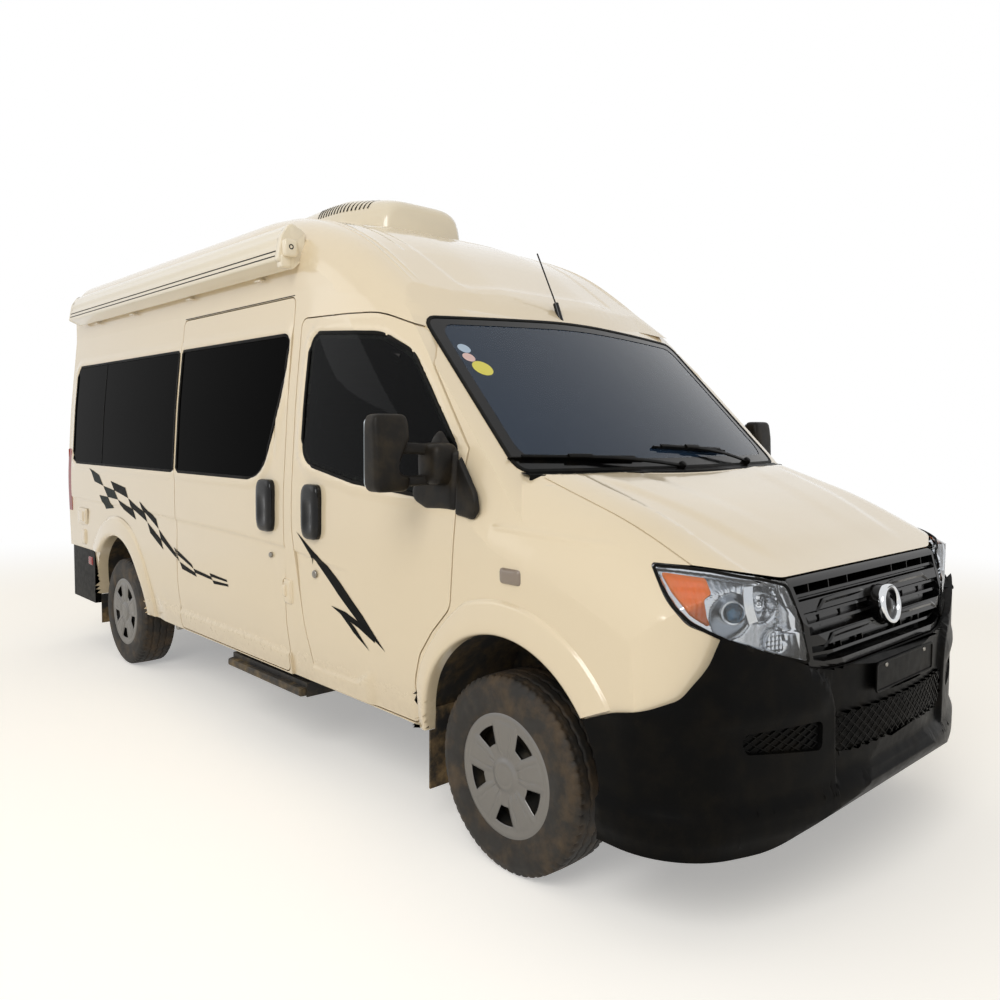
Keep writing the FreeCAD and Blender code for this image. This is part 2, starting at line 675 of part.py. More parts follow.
def make_bumper():
    """Front bumper shell with its grille opening, side vents and a plate recess."""
    shell_part = bumper_form(0).cut(bumper_form(bumper_thickness))
    shell_part = shell_part.common(prism("xz", bumper_side_line, -1300, 1300))
    shell_part = shell_part.common(prism("yz", bumper_front_line, ahead(-400), ahead(1300)))
    for sign in (1, -1):
        disc = wheel_disc(front_arch_x, arch_radius, 0, 1200)
        shell_part = shell_part.cut(disc if sign > 0 else mirrored(disc))
    plate_seat = box(ahead(bumper_front - 8), ahead(1200), -plate_half, plate_half, plate_foot, plate_head)
    shell_part = shell_part.cut(plate_seat)
    mesh = bumper_form(mesh_front).cut(bumper_form(mesh_back))
    for line, start in ((intake_line, 800), (vent_line, 600)):
        opening = prism("yz", line, ahead(start), ahead(1200))
        filling = mesh.common(prism("yz", grown(line, mesh_overlap), ahead(start), ahead(1200)))
        shell_part = shell_part.cut(opening).fuse(filling)
        if line is vent_line:
            shell_part = shell_part.cut(mirrored(opening)).fuse(mirrored(filling))
    save("front_bumper", shell_part)


grille_line = [(-lamp_inner_foot[0], lamp_inner_foot[1], 20), (-440, bumper_top, 60), (440, bumper_top, 60),
               (lamp_inner_foot[0], lamp_inner_foot[1], 20), (lamp_inner_head[0], lamp_inner_head[1], 20),
               (-lamp_inner_head[0], lamp_inner_head[1], 20)]
ring_height = 938.0              # the plain disc in the middle of the grille
ring_radius = 62.0
thick_bars = [(868, 902), (968, 1002)]
fine_bar_foot = 832.0
fine_bar_pitch = 30.0
fine_bar_height = 9.0
fine_bar_count = 7


def make_grille():
    """Grille: surround, backing, two thick bars and fine bars, with a plain ring in the middle."""
    face = prism("yz", grille_line, ahead(300), ahead(1200))
    inside = prism("yz", grown(grille_line, -22), ahead(300), ahead(1200))
    pocket = inside.cut(lower_body(52))
    bars = [(low, high, 6) for low, high in thick_bars]
    bars += [(fine_bar_foot + i * fine_bar_pitch, fine_bar_foot + i * fine_bar_pitch + fine_bar_height, 24)
             for i in range(fine_bar_count)]
    for low, high, depth in bars:
        bar = box(ahead(300), ahead(1200), -700, 700, low, high)
        pocket = pocket.cut(bar.common(lower_body(depth)))
    grille = lower_body(4).cut(lower_body(60)).common(face).cut(pocket)
    ring_x = ahead(nose_front - 62)
    disc = rod((ring_x - 20, 0, ring_height), (ring_x + 26, 0, ring_height), ring_radius)
    dish = rod((ring_x + 12, 0, ring_height), (ring_x + 40, 0, ring_height), ring_radius - 13)
    save("grille", grille.fuse(disc).cut(dish))


lamp_depth = 90.0


def make_lamps():
    """Headlamps set into the nose, and tail lamps in the rear corners."""
    nose = skin.cut(body(lamp_depth))
    lamp = nose.common(mirrored(lamp_cutter(grown(lamp_line, -1.0))))
    bumper_zone = prism("xz", bumper_side_line, -1300, 1300).common(bumper_form(0))
    lamp = lamp.cut(bumper_zone.common(prism("yz", bumper_front_line, ahead(-400), ahead(1300))))
    lamp = lamp.cut(prism("yz", bonnet_front_line, ahead(300), ahead(1200)))
    lamp = lamp.cut(prism("yz", grown(grille_line, 1.0), ahead(300), ahead(1200)))
    save("headlamps", Part.makeCompound([lamp, mirrored(lamp)]))
    back = skin.cut(body(tail_lamp_depth))
    tail = back.common(tail_lamp_block(1))
    save("tail_lamps", Part.makeCompound([tail, mirrored(tail)]))


def make_rear_bumper():
    """Rear bumper wrapped round the corners, with a step in the middle and a towing eye socket."""
    back_x, front_x = ahead(-(wheelbase + rear_overhang)), ahead(rear_bumper_front)
    half = 988.0
    corners = [(back_x, -half, 110), (front_x, -half, 0), (front_x, half, 0), (back_x, half, 110)]
    outer = prism("xy", corners, 330, rear_bumper_side_top)
    inner_corners = [(back_x + 42, -half + 42, 68), (front_x + 10, -half + 42, 0), (front_x + 10, half - 42, 0),
                     (back_x + 42, half - 42, 68)]
    ring = outer.cut(prism("xy", inner_corners, 300, 900))
    ring = ring.cut(box(back_x - 10, ahead(rear_face) + 90, -rear_door_half - 6, rear_door_half + 6,
                        rear_bumper_centre_top, 900))
    for sign in (1, -1):
        disc = wheel_disc(rear_arch_x, arch_radius, 0, 1200)
        ring = ring.cut(disc if sign > 0 else mirrored(disc))
    save("rear_bumper", ring)


# ---------------------------------------------------------------- roof fittings
awning_front = -1400.0
awning_back = -4360.0
awning_foot = shoulder_height - 319
awning_line = [(-884, awning_foot + 59, 10), (-889, awning_foot + 179, 10), (-962, awning_foot + 214, 20),
               (-1006, awning_foot + 149, 30), (-1028, awning_foot + 36, 20), (-948, awning_foot, 15)]
conditioner_front = -1665.0
conditioner_back = -2640.0
conditioner_shoulder = -1960.0    # where the unit has its full width
conditioner_top = roof_crown + 205
conditioner_root = roof_crown - 90           # inside the roof, where the unit is cut to its skin
aerial_foot = 1990.0
aerial_side = -50.0


def make_roof_fittings():
    """Awning case on the right edge of the roof, air conditioner on top, aerial at the front."""
    case = prism("yz", awning_line, ahead(awning_back), ahead(awning_front)).cut(skin)
    save("awning_case", case)
    plan = placed([(conditioner_front, -262, 60), (conditioner_front, 262, 60),
                   (conditioner_shoulder, 372, 260), (conditioner_back, 372, 150),
                   (conditioner_back, -372, 150), (conditioner_shoulder, -372, 260)])
    side = placed([(conditioner_front + 8, conditioner_root, 0),
                   (conditioner_front - 12, conditioner_top - 57, 50),
                   (conditioner_shoulder - 100, conditioner_top, 500),
                   (conditioner_back + 60, conditioner_top - 25, 90), (conditioner_back, conditioner_root, 0)])
    unit = prism("xy", plan, conditioner_root, conditioner_top + 105).common(prism("xz", side, -600, 600))
    save("air_conditioner", unit.cut(skin))
    foot_x = screen_plane(aerial_foot) - 26
    foot = (ahead(foot_x), aerial_side, aerial_foot)
    bend = (ahead(foot_x - 40), aerial_side, aerial_foot + 100)
    tip = (ahead(foot_x - 160), aerial_side, aerial_foot + 341)
    base = fuse(rod(foot, bend, 13), rod(bend, tip, 3.5)).cut(skin)
    save("aerial", base)


# ---------------------------------------------------------------- floor, frame and underside
floor_height = 600.0
floor_thickness = 40.0
sill_clearance = 8.0             # between the inner sill and the wall, so that a jack's pad can lie flat
rail_centre = 450.0
rail_width = 60.0
rail_foot = 445.0
rail_front = 790.0
rail_back = -4440.0
cross_members = (-4380, -3050, -2200, -1250, -330, 650)
firewall_x = -250.0
firewall_head = 1240.0
tow_middle = -4340.0             # four bolt holes for a towing bracket
tow_spacing_x = 100.0
tow_hole_radius = 6.5
tow_hole_depth = 45.0
housing_inner_front = 535.0
housing_inner_rear = 655.0
kingpin_y = half_track - tyre_width / 2
axle_height = tyre_radius


def make_floor():
    """Floor pan with its firewall, cut out for the wheel housings."""
    under_walls = body(wall_thickness)
    inside_sills = body(wall_thickness + sill_clearance)
    pan = box(ahead(rear_face) + wall_thickness + 1, ahead(firewall_x), -1000, 1000,
              floor_height - floor_thickness, floor_height)
    wall = box(ahead(firewall_x) - 18, ahead(firewall_x), -1000, 1000, floor_height - 20, firewall_head)
    sills = box(ahead(-2640), ahead(-500), 862, 1000, 430, floor_height - 20)
    sills = sills.common(inside_sills)
    pan = pan.fuse(wall).common(under_walls).fuse(sills).fuse(mirrored(sills))
    for x, inner in ((front_arch_x, housing_inner_front), (rear_arch_x, housing_inner_rear)):
        tool = wheel_disc(x, housing_radius, inner - housing_thickness, 1100)
        pan = pan.cut(tool).cut(mirrored(tool))
    save("floor_pan", pan.removeSplitter())


def make_housings():
    """Wheel housings: an arched shell closed on its inner side, one over each wheel."""
    parts = []
    for x, inner, inset in ((front_arch_x, housing_inner_front, wing_thickness),
                            (rear_arch_x, housing_inner_rear, wall_thickness)):
        solid = wheel_disc(x, housing_radius, inner - housing_thickness, flare_back - seal_clearance)
        hollow = wheel_disc(x, housing_radius - housing_thickness, inner, flare_back + 1)
        shell_part = solid.cut(hollow).common(box(-4000, 4000, 0, 1200, arch_height, 1500))
        shell_part = shell_part.common(body(inset + seal_clearance))
        if x == front_arch_x:
            shell_part = shell_part.cut(box(-4000, 4000, rail_centre, 1200, arch_height - 1, arch_height + 5))
        shell_part = shell_part.cut(box(-4000, 4000, 0, rail_centre + rail_width / 2, 0, 2000))
        parts += [shell_part, mirrored(shell_part)]
    save("wheel_housings", Part.makeCompound(parts))


def make_rails():
    """Two chassis rails with cross members and a bumper beam."""
    low, high = rail_foot, floor_height - floor_thickness
    parts = []
    for sign in (1, -1):
        y = sign * rail_centre
        inner, outer = y - rail_width / 2, y + rail_width / 2
        parts.append(box(ahead(rail_back), ahead(rail_front), inner, outer, low, high))
    for distance in cross_members:
        middle = ahead(distance)
        parts.append(box(middle - 30, middle + 30, -rail_centre, rail_centre, low + 10, high - 10))
    beam = box(ahead(rail_front) - 40, ahead(rail_front) + 10, -640, 640, low + 5, high - 5)
    parts.append(beam)
    back = box(ahead(-(wheelbase + rear_overhang)) + 42, ahead(rail_back) + 5, -700, 700, low, low + 60)
    parts.append(back)
    frame = fuse(*parts)
    for dx in (-tow_spacing_x / 2, tow_spacing_x / 2):
        for y in (-rail_centre, rail_centre):
            start = (ahead(tow_middle) + dx, y, low - 1)
            frame = frame.cut(rod(start, (start[0], y, low + tow_hole_depth), tow_hole_radius))
    save("chassis_rails", frame)


def make_suspension():
    """Front arms and struts with their steering rack; rear axle on leaf springs."""
    parts = [box(ahead(-30), ahead(30), -rail_centre, rail_centre, 225, 285)]
    for sign in (1, -1):
        arm = prism("xy", [(ahead(-200), sign * 400, 15), (ahead(140), sign * 400, 15),
                           (ahead(24), sign * (kingpin_y + 6), 20), (ahead(-24), sign * (kingpin_y + 6), 20)],
                    185, 205)
        parts.append(arm)
        parts.append(rod((ahead(0), sign * kingpin_y, 204), (ahead(0), sign * kingpin_y, 214.7), 14))
        parts.append(box(ahead(-190), ahead(130), sign * 430 - 20, sign * 430 + 20, 195, rail_foot))
    parts.append(rod((ahead(-150), -560, 330), (ahead(-150), 560, 330), 24))
    save("front_suspension", fuse(*parts))
    struts = []
    top = arch_height + housing_radius - housing_thickness - 3.3
    for sign in (1, -1):
        strut = rod((ahead(0), sign * kingpin_y, 731.3), (ahead(0), sign * kingpin_y, top), 30)
        struts.append(strut)
    save("front_struts", Part.makeCompound(struts))

    axle_x = -wheelbase
    beam = rod((ahead(axle_x), -700, axle_height), (ahead(axle_x), 700, axle_height), 42)
    parts = [beam]
    for sign in (1, -1):
        y = sign * rail_centre
        spring = prism("xz", placed([(axle_x - 640, 425, 0), (axle_x, 374, 900), (axle_x + 640, 425, 0),
                                     (axle_x + 640, 440, 0), (axle_x, 400, 900), (axle_x - 640, 440, 0)]),
                       y - 32, y + 32)
        parts.append(spring)
        parts.append(box(ahead(axle_x) - 60, ahead(axle_x) + 60, y - 36, y + 36, axle_height, 405))
        for end in (-625, 625):
            middle = ahead(axle_x + end)
            parts.append(box(middle - 15, middle + 15, y - 32, y + 32, 425, rail_foot))
        hub = rod((ahead(axle_x), sign * 690, axle_height), (ahead(axle_x), sign * 712, axle_height), 130)
        stub = rod((ahead(axle_x), sign * 700, axle_height), (ahead(axle_x), sign * spindle_end, axle_height),
                   spindle_radius)
        parts += [hub, stub]
    save("rear_axle", fuse(*parts))


spindle_radius = 24.0
spindle_clearance = 0.3
spindle_end = half_track + 40
pipe_y = -250.0                  # the exhaust runs along the right of the middle
pipe_z = 362.0
pipe_radius = 26.0


def make_underside():
    """Engine block, fuel tank, exhaust, mud flaps and the housing of the entry step."""
    engine = box(ahead(-30), ahead(560), -330, 330, rail_foot + 10, 1010)
    save("engine_block", engine.cut(nodes["chassis_rails"]))
    tank_line = [(490, 350, 50), (850, 350, 60), (850, 560, 10), (490, 560, 10)]
    save("fuel_tank", prism("yz", tank_line, ahead(-2350), ahead(-1650)))
    low = floor_height - floor_thickness
    front, turn = ahead(-230), ahead(-2860)
    path = open_path([Vector(front, pipe_y, pipe_z), Vector(turn, pipe_y, pipe_z), Vector(turn, -905, pipe_z)],
                     [0, 120, 0])
    circle = Part.makeCircle(pipe_radius, Vector(front, pipe_y, pipe_z), Vector(1, 0, 0))
    pipe = path.makePipe(Part.Face(Part.Wire(circle)))
    silencer = rod((ahead(-2750), pipe_y, pipe_z), (ahead(-2250), pipe_y, pipe_z), 78)
    down = rod((front - 10, pipe_y, pipe_z - 15), (front + 80, pipe_y, rail_foot + 60), pipe_radius)
    front_pipe = rod((front + 70, pipe_y, rail_foot + 50), (ahead(-20), pipe_y, rail_foot + 50), pipe_radius)
    hangers = [rod((ahead(d), pipe_y, pipe_z), (ahead(d), pipe_y, low), 7) for d in (-2300, -2700, -900)]
    save("exhaust", fuse(pipe, silencer, down, front_pipe, *hangers).cut(nodes["engine_block"]))
    flaps = []
    for arch_x, foot, edge in ((front_arch_x, 165, 922.8), (rear_arch_x, 190, 887)):
        x = arch_x - arch_radius + 6
        flap = fuse(box(x - 8, x, 735, 950, foot, sill_height - 2), box(x - 8, x, 735, edge, foot, 470))
        flaps += [flap, mirrored(flap)]
    save("mud_flaps", Part.makeCompound(flaps))


step_back = -2040.0
step_front = -1305.0
step_cover_foot = 350.0          # under side of the housing's cover
step_wall = 8.0


def make_entry_step():
    """Sliding step under the right sill and the housing it runs in."""
    low = floor_height - floor_thickness
    x0, x1 = ahead(step_back), ahead(step_front)
    clearance = step_wall + seal_clearance
    tray = box(x0 + clearance, x1 - clearance, -985, -600, step_cover_foot - 40,
               step_cover_foot - seal_clearance)
    tray = tray.cut(box(x0 + 30, x1 - 30, -960, -599, step_cover_foot - 50, step_cover_foot - 15))
    save("entry_step", tray)
    parts = [box(x0, x1, -950, -590, step_cover_foot, step_cover_foot + 22)]
    for x in (x0, x1 - step_wall):
        parts.append(box(x, x + step_wall, -950, -590, step_cover_foot - 44, step_cover_foot + 2))
    for x in (x0 + 60, x1 - 100):
        parts.append(box(x, x + 40, -800, -640, step_cover_foot + 20, low))
    save("step_housing", fuse(*parts))


# ---------------------------------------------------------------- wheels, tyres and knuckles
hub_outer = 955.0                # the hubcap's face
rim_wall = 8.0


def turned(profile):
    """Solid turned about the wheel's axle from a profile of (radius, y, corner)."""
    return Part.Face(outline("xy", profile)).revolve(Vector(0, 0, 0), Vector(0, 1, 0), 360)


def make_wheel(name, distance, sign):
    """Rim with a five-hole cover, turning on the spindle, and its tyre."""
    mid = half_track
    half = tyre_width / 2
    tyre = turned([(rim_radius, mid - half + 14, 0), (rim_radius + 60, mid - half, 60),
                   (tyre_radius - 40, mid - half + 3, 60), (tyre_radius, mid - half + 22, 22),
                   (tyre_radius, mid + half - 22, 22),
                   (tyre_radius - 40, mid + half - 3, 60), (rim_radius + 60, mid + half, 60),
                   (rim_radius, mid + half - 14, 0)])
    barrel = turned([(rim_radius - rim_wall, mid - half + 14, 0), (rim_radius, mid - half + 14, 0),
                     (rim_radius, mid + half - 14, 0), (rim_radius - rim_wall, mid + half - 14, 0)])
    bore = spindle_radius + spindle_clearance
    disc_edge = rim_radius - rim_wall / 2
    disc = turned([(bore, mid + 24, 0), (disc_edge, mid + 60, 0), (disc_edge, mid + 72, 0),
                   (bore, mid + 48, 0)])
    hub = turned([(bore, 735, 0), (72, 735, 0), (72, mid + 48, 0), (bore, mid + 48, 0)])
    cover = turned([(0, hub_outer - 26, 0), (60, hub_outer - 26, 0), (rim_radius - 2, hub_outer - 14, 0),
                    (rim_radius - 2, hub_outer - 5, 0), (rim_radius + 13, hub_outer - 4, 0),
                    (rim_radius + 11, hub_outer - 0.5, 0), (150, hub_outer, 60),
                    (60, hub_outer - 8, 10), (48, hub_outer + 2, 8), (0, hub_outer + 2, 0)])
    hole = [(88, -13, 8), (176, -44, 22), (176, 44, 22), (88, 13, 8)]
    tool = prism("xz", hole, hub_outer - 60, hub_outer + 20)
    for i in range(5):
        turned_tool = tool.copy()
        turned_tool.rotate(Vector(0, 0, 0), Vector(0, 1, 0), 90 + 72 * i)
        cover = cover.cut(turned_tool)
    post = turned([(0, spindle_end + 6, 0), (50, spindle_end + 6, 0), (50, hub_outer - 22, 0),
                   (0, hub_outer - 22, 0)])
    cup = turned([(bore, mid + 40, 0), (50, mid + 40, 0), (50, spindle_end + 10, 0),
                  (bore, spindle_end + 10, 0)])
    rim = fuse(barrel, hub, disc, cup, post, cover)
    shift = Vector(ahead(distance), 0, axle_height)
    for key, shape in (("tyre_" + name, tyre), ("wheel_" + name, rim)):
        shape.translate(shift)
        save(key, shape if sign > 0 else mirrored(shape))


def make_knuckles():
    """Steering knuckles: upright behind the wheel, spindle, arm over the tyre and lower eye."""
    x = ahead(0)
    upright = box(x - 32, x + 32, 700, 732, 240, 716)
    over = box(x - 26, x + 26, 700, kingpin_y + 26, 700, 722)
    top_pin = rod((x, kingpin_y, 715), (x, kingpin_y, 731), 16)
    lower = box(x - 26, x + 26, 700, kingpin_y + 16, 215, 250)
    spindle = rod((x, 715, axle_height), (x, spindle_end, axle_height), spindle_radius)
    plate = rod((x, 716, axle_height), (x, 730, axle_height), 130)
    arm = box(x - 150, x, 700, 722, axle_height - 14, axle_height + 14)
    knuckle = fuse(upright, over, top_pin, lower, spindle, plate, arm)
    save("knuckle_left", knuckle)
    save("knuckle_right", mirrored(knuckle))


# ---------------------------------------------------------------- cab
seat_side = 430.0                # of each seat's middle, and of the steering wheel
wheel_centre = (-600.0, seat_side, 1370.0)
column_lean = math.radians(34)
cushion_foot = 900.0
cushion_half, backrest_half, headrest_half = 255.0, 245.0, 140.0
backrest_head = 1640.0
headrest_head = 1830.0


def make_cab():
    """Dashboard with the steering column, steering wheel and two seats."""
    dash = prism("xz", placed([(-45, 1372, 12), (-200, 1402, 60), (-320, 1438, 60), (-430, 1428, 45),
                               (-455, 1270, 80), (-430, 1090, 60), (-340, 970, 60), (-270, 900, 20),
                               (-270, 1250, 20), (-150, 1330, 40)]), -870, 870)
    hood_line = placed([(-290, 1400, 20), (-370, 1482, 40), (-450, 1468, 25), (-440, 1380, 20)])
    hood = prism("xz", hood_line, seat_side - 180, seat_side + 180)
    dash = dash.fuse(hood)
    centre = Vector(ahead(wheel_centre[0]), wheel_centre[1], wheel_centre[2])
    along = Vector(-math.cos(column_lean), 0, math.sin(column_lean))
    start = centre - along * 330
    column = Part.makeCylinder(32, 290, start, along)
    dash = dash.fuse(column).cut(nodes["floor_pan"])
    dash = dash.common(cabin)
    save("dashboard", dash)
    ring = Part.makeTorus(182, 14, centre, along)
    boss = Part.makeCylinder(62, 40, centre - along * 39.7, along)
    spokes = []
    side = Vector(0, 1, 0)
    up = along.cross(side)
    for direction in (side, side * -1, up * -1, up):
        spokes.append(Part.makeCylinder(11, 176, centre - along * 8, direction))
    save("steering_wheel", fuse(ring, boss, *spokes))

    seats = []
    for y in (seat_side, -seat_side):
        base = box(ahead(-1260), ahead(-830), y - 190, y + 190, floor_height, cushion_foot)
        cushion = prism("xz", placed([(-790, cushion_foot, 40), (-790, cushion_foot + 130, 60),
                                      (-1260, cushion_foot + 100, 40), (-1260, cushion_foot, 0)]),
                        y - cushion_half, y + cushion_half)
        back = prism("xz", placed([(-1190, cushion_foot + 60, 40), (-1300, backrest_head, 45),
                                   (-1410, backrest_head, 45), (-1330, cushion_foot + 30, 30)]),
                     y - backrest_half, y + backrest_half)
        head = prism("xz", placed([(-1300, backrest_head - 10, 20), (-1312, headrest_head, 45),
                                   (-1412, headrest_head, 45), (-1402, backrest_head - 10, 20)]),
                     y - headrest_half, y + headrest_half)
        seats.append(fuse(base, cushion, back, head))
    save("front_seats", Part.makeCompound(seats))


wheel_table = [("front_left", 0.0, 1), ("front_right", 0.0, -1),
               ("rear_left", -wheelbase, 1), ("rear_right", -wheelbase, -1)]

for maker in (make_shell, make_wings, make_bonnet, make_glass, make_front_doors, make_sliding_door,
              make_rear_doors, make_bumper, make_grille, make_lamps, make_rear_bumper, make_roof_fittings,
              make_floor, make_housings, make_rails, make_suspension, make_underside, make_entry_step,
              make_knuckles, make_cab):
    maker()
for wheel_name, wheel_distance, wheel_sign in wheel_table:
    make_wheel(wheel_name, wheel_distance, wheel_sign)

for node_name, node_shape in nodes.items():
    node_shape.exportStep("parts/" + node_name + ".step")
    box_of = node_shape.optimalBoundingBox(False)
    print(node_name, len(node_shape.Solids), node_shape.isValid(), round(node_shape.Volume / 1e6, 2),
          [round(v) for v in (box_of.XMin, box_of.XMax, box_of.YMin, box_of.YMax, box_of.ZMin, box_of.ZMax)])
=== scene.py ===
"""Looks of the high-roof camper van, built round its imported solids.

Metres, in the solids' own frame: +X forwards, +Y to the left, +Z up. Drawn sizes are in millimetres,
as distance ahead of the front axle, distance left of the middle and height; at() turns them into metres.
"""
import json
import math

import bmesh
import bpy
import numpy as np
from mathutils import Matrix, Vector


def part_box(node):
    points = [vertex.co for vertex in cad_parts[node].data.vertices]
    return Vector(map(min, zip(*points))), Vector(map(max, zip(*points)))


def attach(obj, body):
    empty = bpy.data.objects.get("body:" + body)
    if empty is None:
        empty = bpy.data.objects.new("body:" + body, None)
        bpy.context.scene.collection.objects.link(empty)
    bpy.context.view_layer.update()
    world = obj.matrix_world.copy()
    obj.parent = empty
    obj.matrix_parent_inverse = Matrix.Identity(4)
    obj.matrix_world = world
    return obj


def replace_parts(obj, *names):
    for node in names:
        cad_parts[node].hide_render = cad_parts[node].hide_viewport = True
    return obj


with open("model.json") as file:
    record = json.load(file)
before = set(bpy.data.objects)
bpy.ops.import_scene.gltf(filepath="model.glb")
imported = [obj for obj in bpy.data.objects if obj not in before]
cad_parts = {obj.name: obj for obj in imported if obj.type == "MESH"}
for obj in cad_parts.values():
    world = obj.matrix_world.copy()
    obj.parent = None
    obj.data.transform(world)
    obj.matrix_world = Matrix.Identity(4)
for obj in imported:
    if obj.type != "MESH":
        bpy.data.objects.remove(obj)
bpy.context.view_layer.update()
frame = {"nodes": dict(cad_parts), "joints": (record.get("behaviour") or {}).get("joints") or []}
NODES = frame["nodes"]
JOINTS = {joint["name"]: joint for joint in frame["joints"]}
AXLE = JOINTS["wheel_front_right_spin"]["pos_m"][0]
REAR_AXLE = JOINTS["wheel_rear_right_spin"]["pos_m"][0]
RIGHT, LEFT = -1.0, 1.0


# ---- points, outlines and grids
def at(rows):
    """Points (ahead of the front axle, left, up) in millimetres, as metres in the van's frame."""
    return np.asarray(rows, float) / 1000 + np.array([AXLE, 0.0, 0.0])


def flat(rows):
    """Side-view points (ahead of the front axle, height) in millimetres, as metres."""
    return np.asarray(rows, float) / 1000 + np.array([AXLE, 0.0])


def rounded(corners, steps=6):
    """Closed outline (n, 2) through corners (a, b, radius), each corner an arc tangent to both its runs."""
    table = np.array(corners, float)
    here, radius = table[:, :2], table[:, 2]
    before = np.roll(here, 1, 0) - here
    after = np.roll(here, -1, 0) - here
    before /= np.linalg.norm(before, axis=1)[:, None]
    after /= np.linalg.norm(after, axis=1)[:, None]
    half = np.arccos(np.clip((before * after).sum(1), -1, 1)) / 2
    inward = before + after
    inward /= np.maximum(np.linalg.norm(inward, axis=1), 1e-9)[:, None]
    centre = here + inward * (radius / np.sin(half))[:, None]
    reach = (radius / np.tan(half))[:, None]
    start = np.arctan2(*(here + before * reach - centre).T[::-1])
    turn = np.arctan2(*(here + after * reach - centre).T[::-1]) - start
    turn = (turn + math.pi) % (2 * math.pi) - math.pi
    angle = start[:, None] + turn[:, None] * np.linspace(0, 1, steps + 1)
    arc = centre[:, None] + radius[:, None, None] * np.stack([np.cos(angle), np.sin(angle)], -1)
    return arc.reshape(-1, 2)


def side_outline(corners, steps=8):
    """Rounded side-view outline in millimetres ahead of the front axle, as metres."""
    return flat(rounded(corners, steps))


def even(points, spacing, closed=True):
    """The same line with points spread evenly along it."""
    line = np.vstack([points, points[:1]]) if closed else np.asarray(points, float)
    along = np.concatenate([[0], np.cumsum(np.linalg.norm(np.diff(line, axis=0), axis=1))])
    count = max(int(along[-1] / spacing), 4)
    wanted = np.linspace(0, along[-1], count + 1)[:count if closed else count + 1]
    return np.stack([np.interp(wanted, along, line[:, k]) for k in range(line.shape[1])], -1)


def distance(points, outline):
    """Distance of each point (n, 2) from a closed outline, negative inside."""
    start, step = outline, np.roll(outline, -1, 0) - outline
    off = points[:, None] - start[None]
    share = np.clip((off * step).sum(-1) / np.maximum((step * step).sum(-1), 1e-18), 0, 1)
    near = np.linalg.norm(off - share[..., None] * step, axis=-1).min(1)
    end = start + step
    above = (start[:, 1] > points[:, 1:2]) != (end[:, 1] > points[:, 1:2])
    rise = np.where(np.abs(step[:, 1]) < 1e-12, 1e-12, step[:, 1])
    crossing = above & (points[:, :1] < step[:, 0] * (points[:, 1:2] - start[:, 1]) / rise + start[:, 0])
    return np.where(crossing.sum(1) % 2 == 1, -near, near)


def to_line(points, line):
    """Signed height of points (n, 2) above an open line given left to right."""
    return points[:, 1] - np.interp(points[:, 0], line[:, 0], line[:, 1])


def ease(value, low, high):
    """Smooth step from 0 at low to 1 at high."""
    share = np.clip((value - low) / (high - low), 0, 1)
    return share * share * (3 - 2 * share)


def hump(value, centre, width):
    """Smooth bump of height 1 at centre, gone at half a width to either side."""
    share = np.clip(np.abs(value - centre) / (width / 2), 0, 1)
    return (1 - share * share) ** 2


def quads(rows, columns, wrap_rows=False, wrap_columns=False):
    """Faces of a grid of points laid out row by row."""
    i = np.arange(rows if wrap_rows else rows - 1)[:, None]
    j = np.arange(columns if wrap_columns else columns - 1)[None]
    near, far = i * columns, (i + 1) % rows * columns
    after = (j + 1) % columns
    return np.stack(np.broadcast_arrays(near + j, near + after, far + after, far + j), -1).reshape(-1, 4)


def triangles(*names):
    """Corners (n, 3, 3) of every triangle of some CAD nodes or finished pieces."""
    found = []
    for name in names:
        mesh = (NODES[name] if name in NODES else bpy.data.objects[name]).data
        mesh.calc_loop_triangles()
        corner = np.empty(len(mesh.loop_triangles) * 3, np.int32)
        mesh.loop_triangles.foreach_get("vertices", corner)
        place = np.empty(len(mesh.vertices) * 3, np.float32)
        mesh.vertices.foreach_get("co", place)
        found.append(place.reshape(-1, 3)[corner.reshape(-1, 3)])
    return np.concatenate(found).astype(float)


def drape(names, points, axis, sign, frame_axes=None):
    """Outermost level of CAD nodes along an axis, over points (n, 2) in the other two axes.

    With frame_axes (three rows), the axes are those instead of the van's. Each triangle is flattened along
    the axis; where a point falls in it, its corners' levels are weighted by the point's barycentric shares,
    and the outermost level wins. A point that misses takes its nearest neighbour's level.
    """
    plane = [k for k in range(3) if k != axis]
    tri = triangles(*names)
    if frame_axes is not None:
        tri = tri @ np.asarray(frame_axes, float).T
    span = tri[:, :, plane]
    near = (span.max(1) >= points.min(0) - 0.002).all(1) & (span.min(1) <= points.max(0) + 0.002).all(1)
    tri, span = tri[near], span[near]
    a, ab, ac = span[:, 0], span[:, 1] - span[:, 0], span[:, 2] - span[:, 0]
    area = ab[:, 0] * ac[:, 1] - ab[:, 1] * ac[:, 0]
    good = np.abs(area) > 1e-12
    tri, a, ab, ac, area = tri[good], a[good], ab[good], ac[good], area[good]
    level = tri[:, :, axis] * sign
    best = []
    for part in np.array_split(points, max(1, len(points) * len(tri) // 3_000_000 + 1)):
        off = part[:, None] - a[None]
        one = (off[..., 0] * ac[:, 1] - off[..., 1] * ac[:, 0]) / area
        two = (ab[:, 0] * off[..., 1] - ab[:, 1] * off[..., 0]) / area
        inside = (one > -1e-4) & (two > -1e-4) & (one + two < 1 + 1e-4)
        value = level[:, 0] + one * (level[:, 1] - level[:, 0]) + two * (level[:, 2] - level[:, 0])
        best.append(np.where(inside, value, -np.inf).max(1))
    best = np.concatenate(best)
    miss = ~np.isfinite(best)
    if miss.any() and not miss.all():
        gap = np.linalg.norm(points[miss][:, None] - points[~miss][None], axis=-1)
        best[miss] = best[~miss][gap.argmin(1)]
    return best * sign


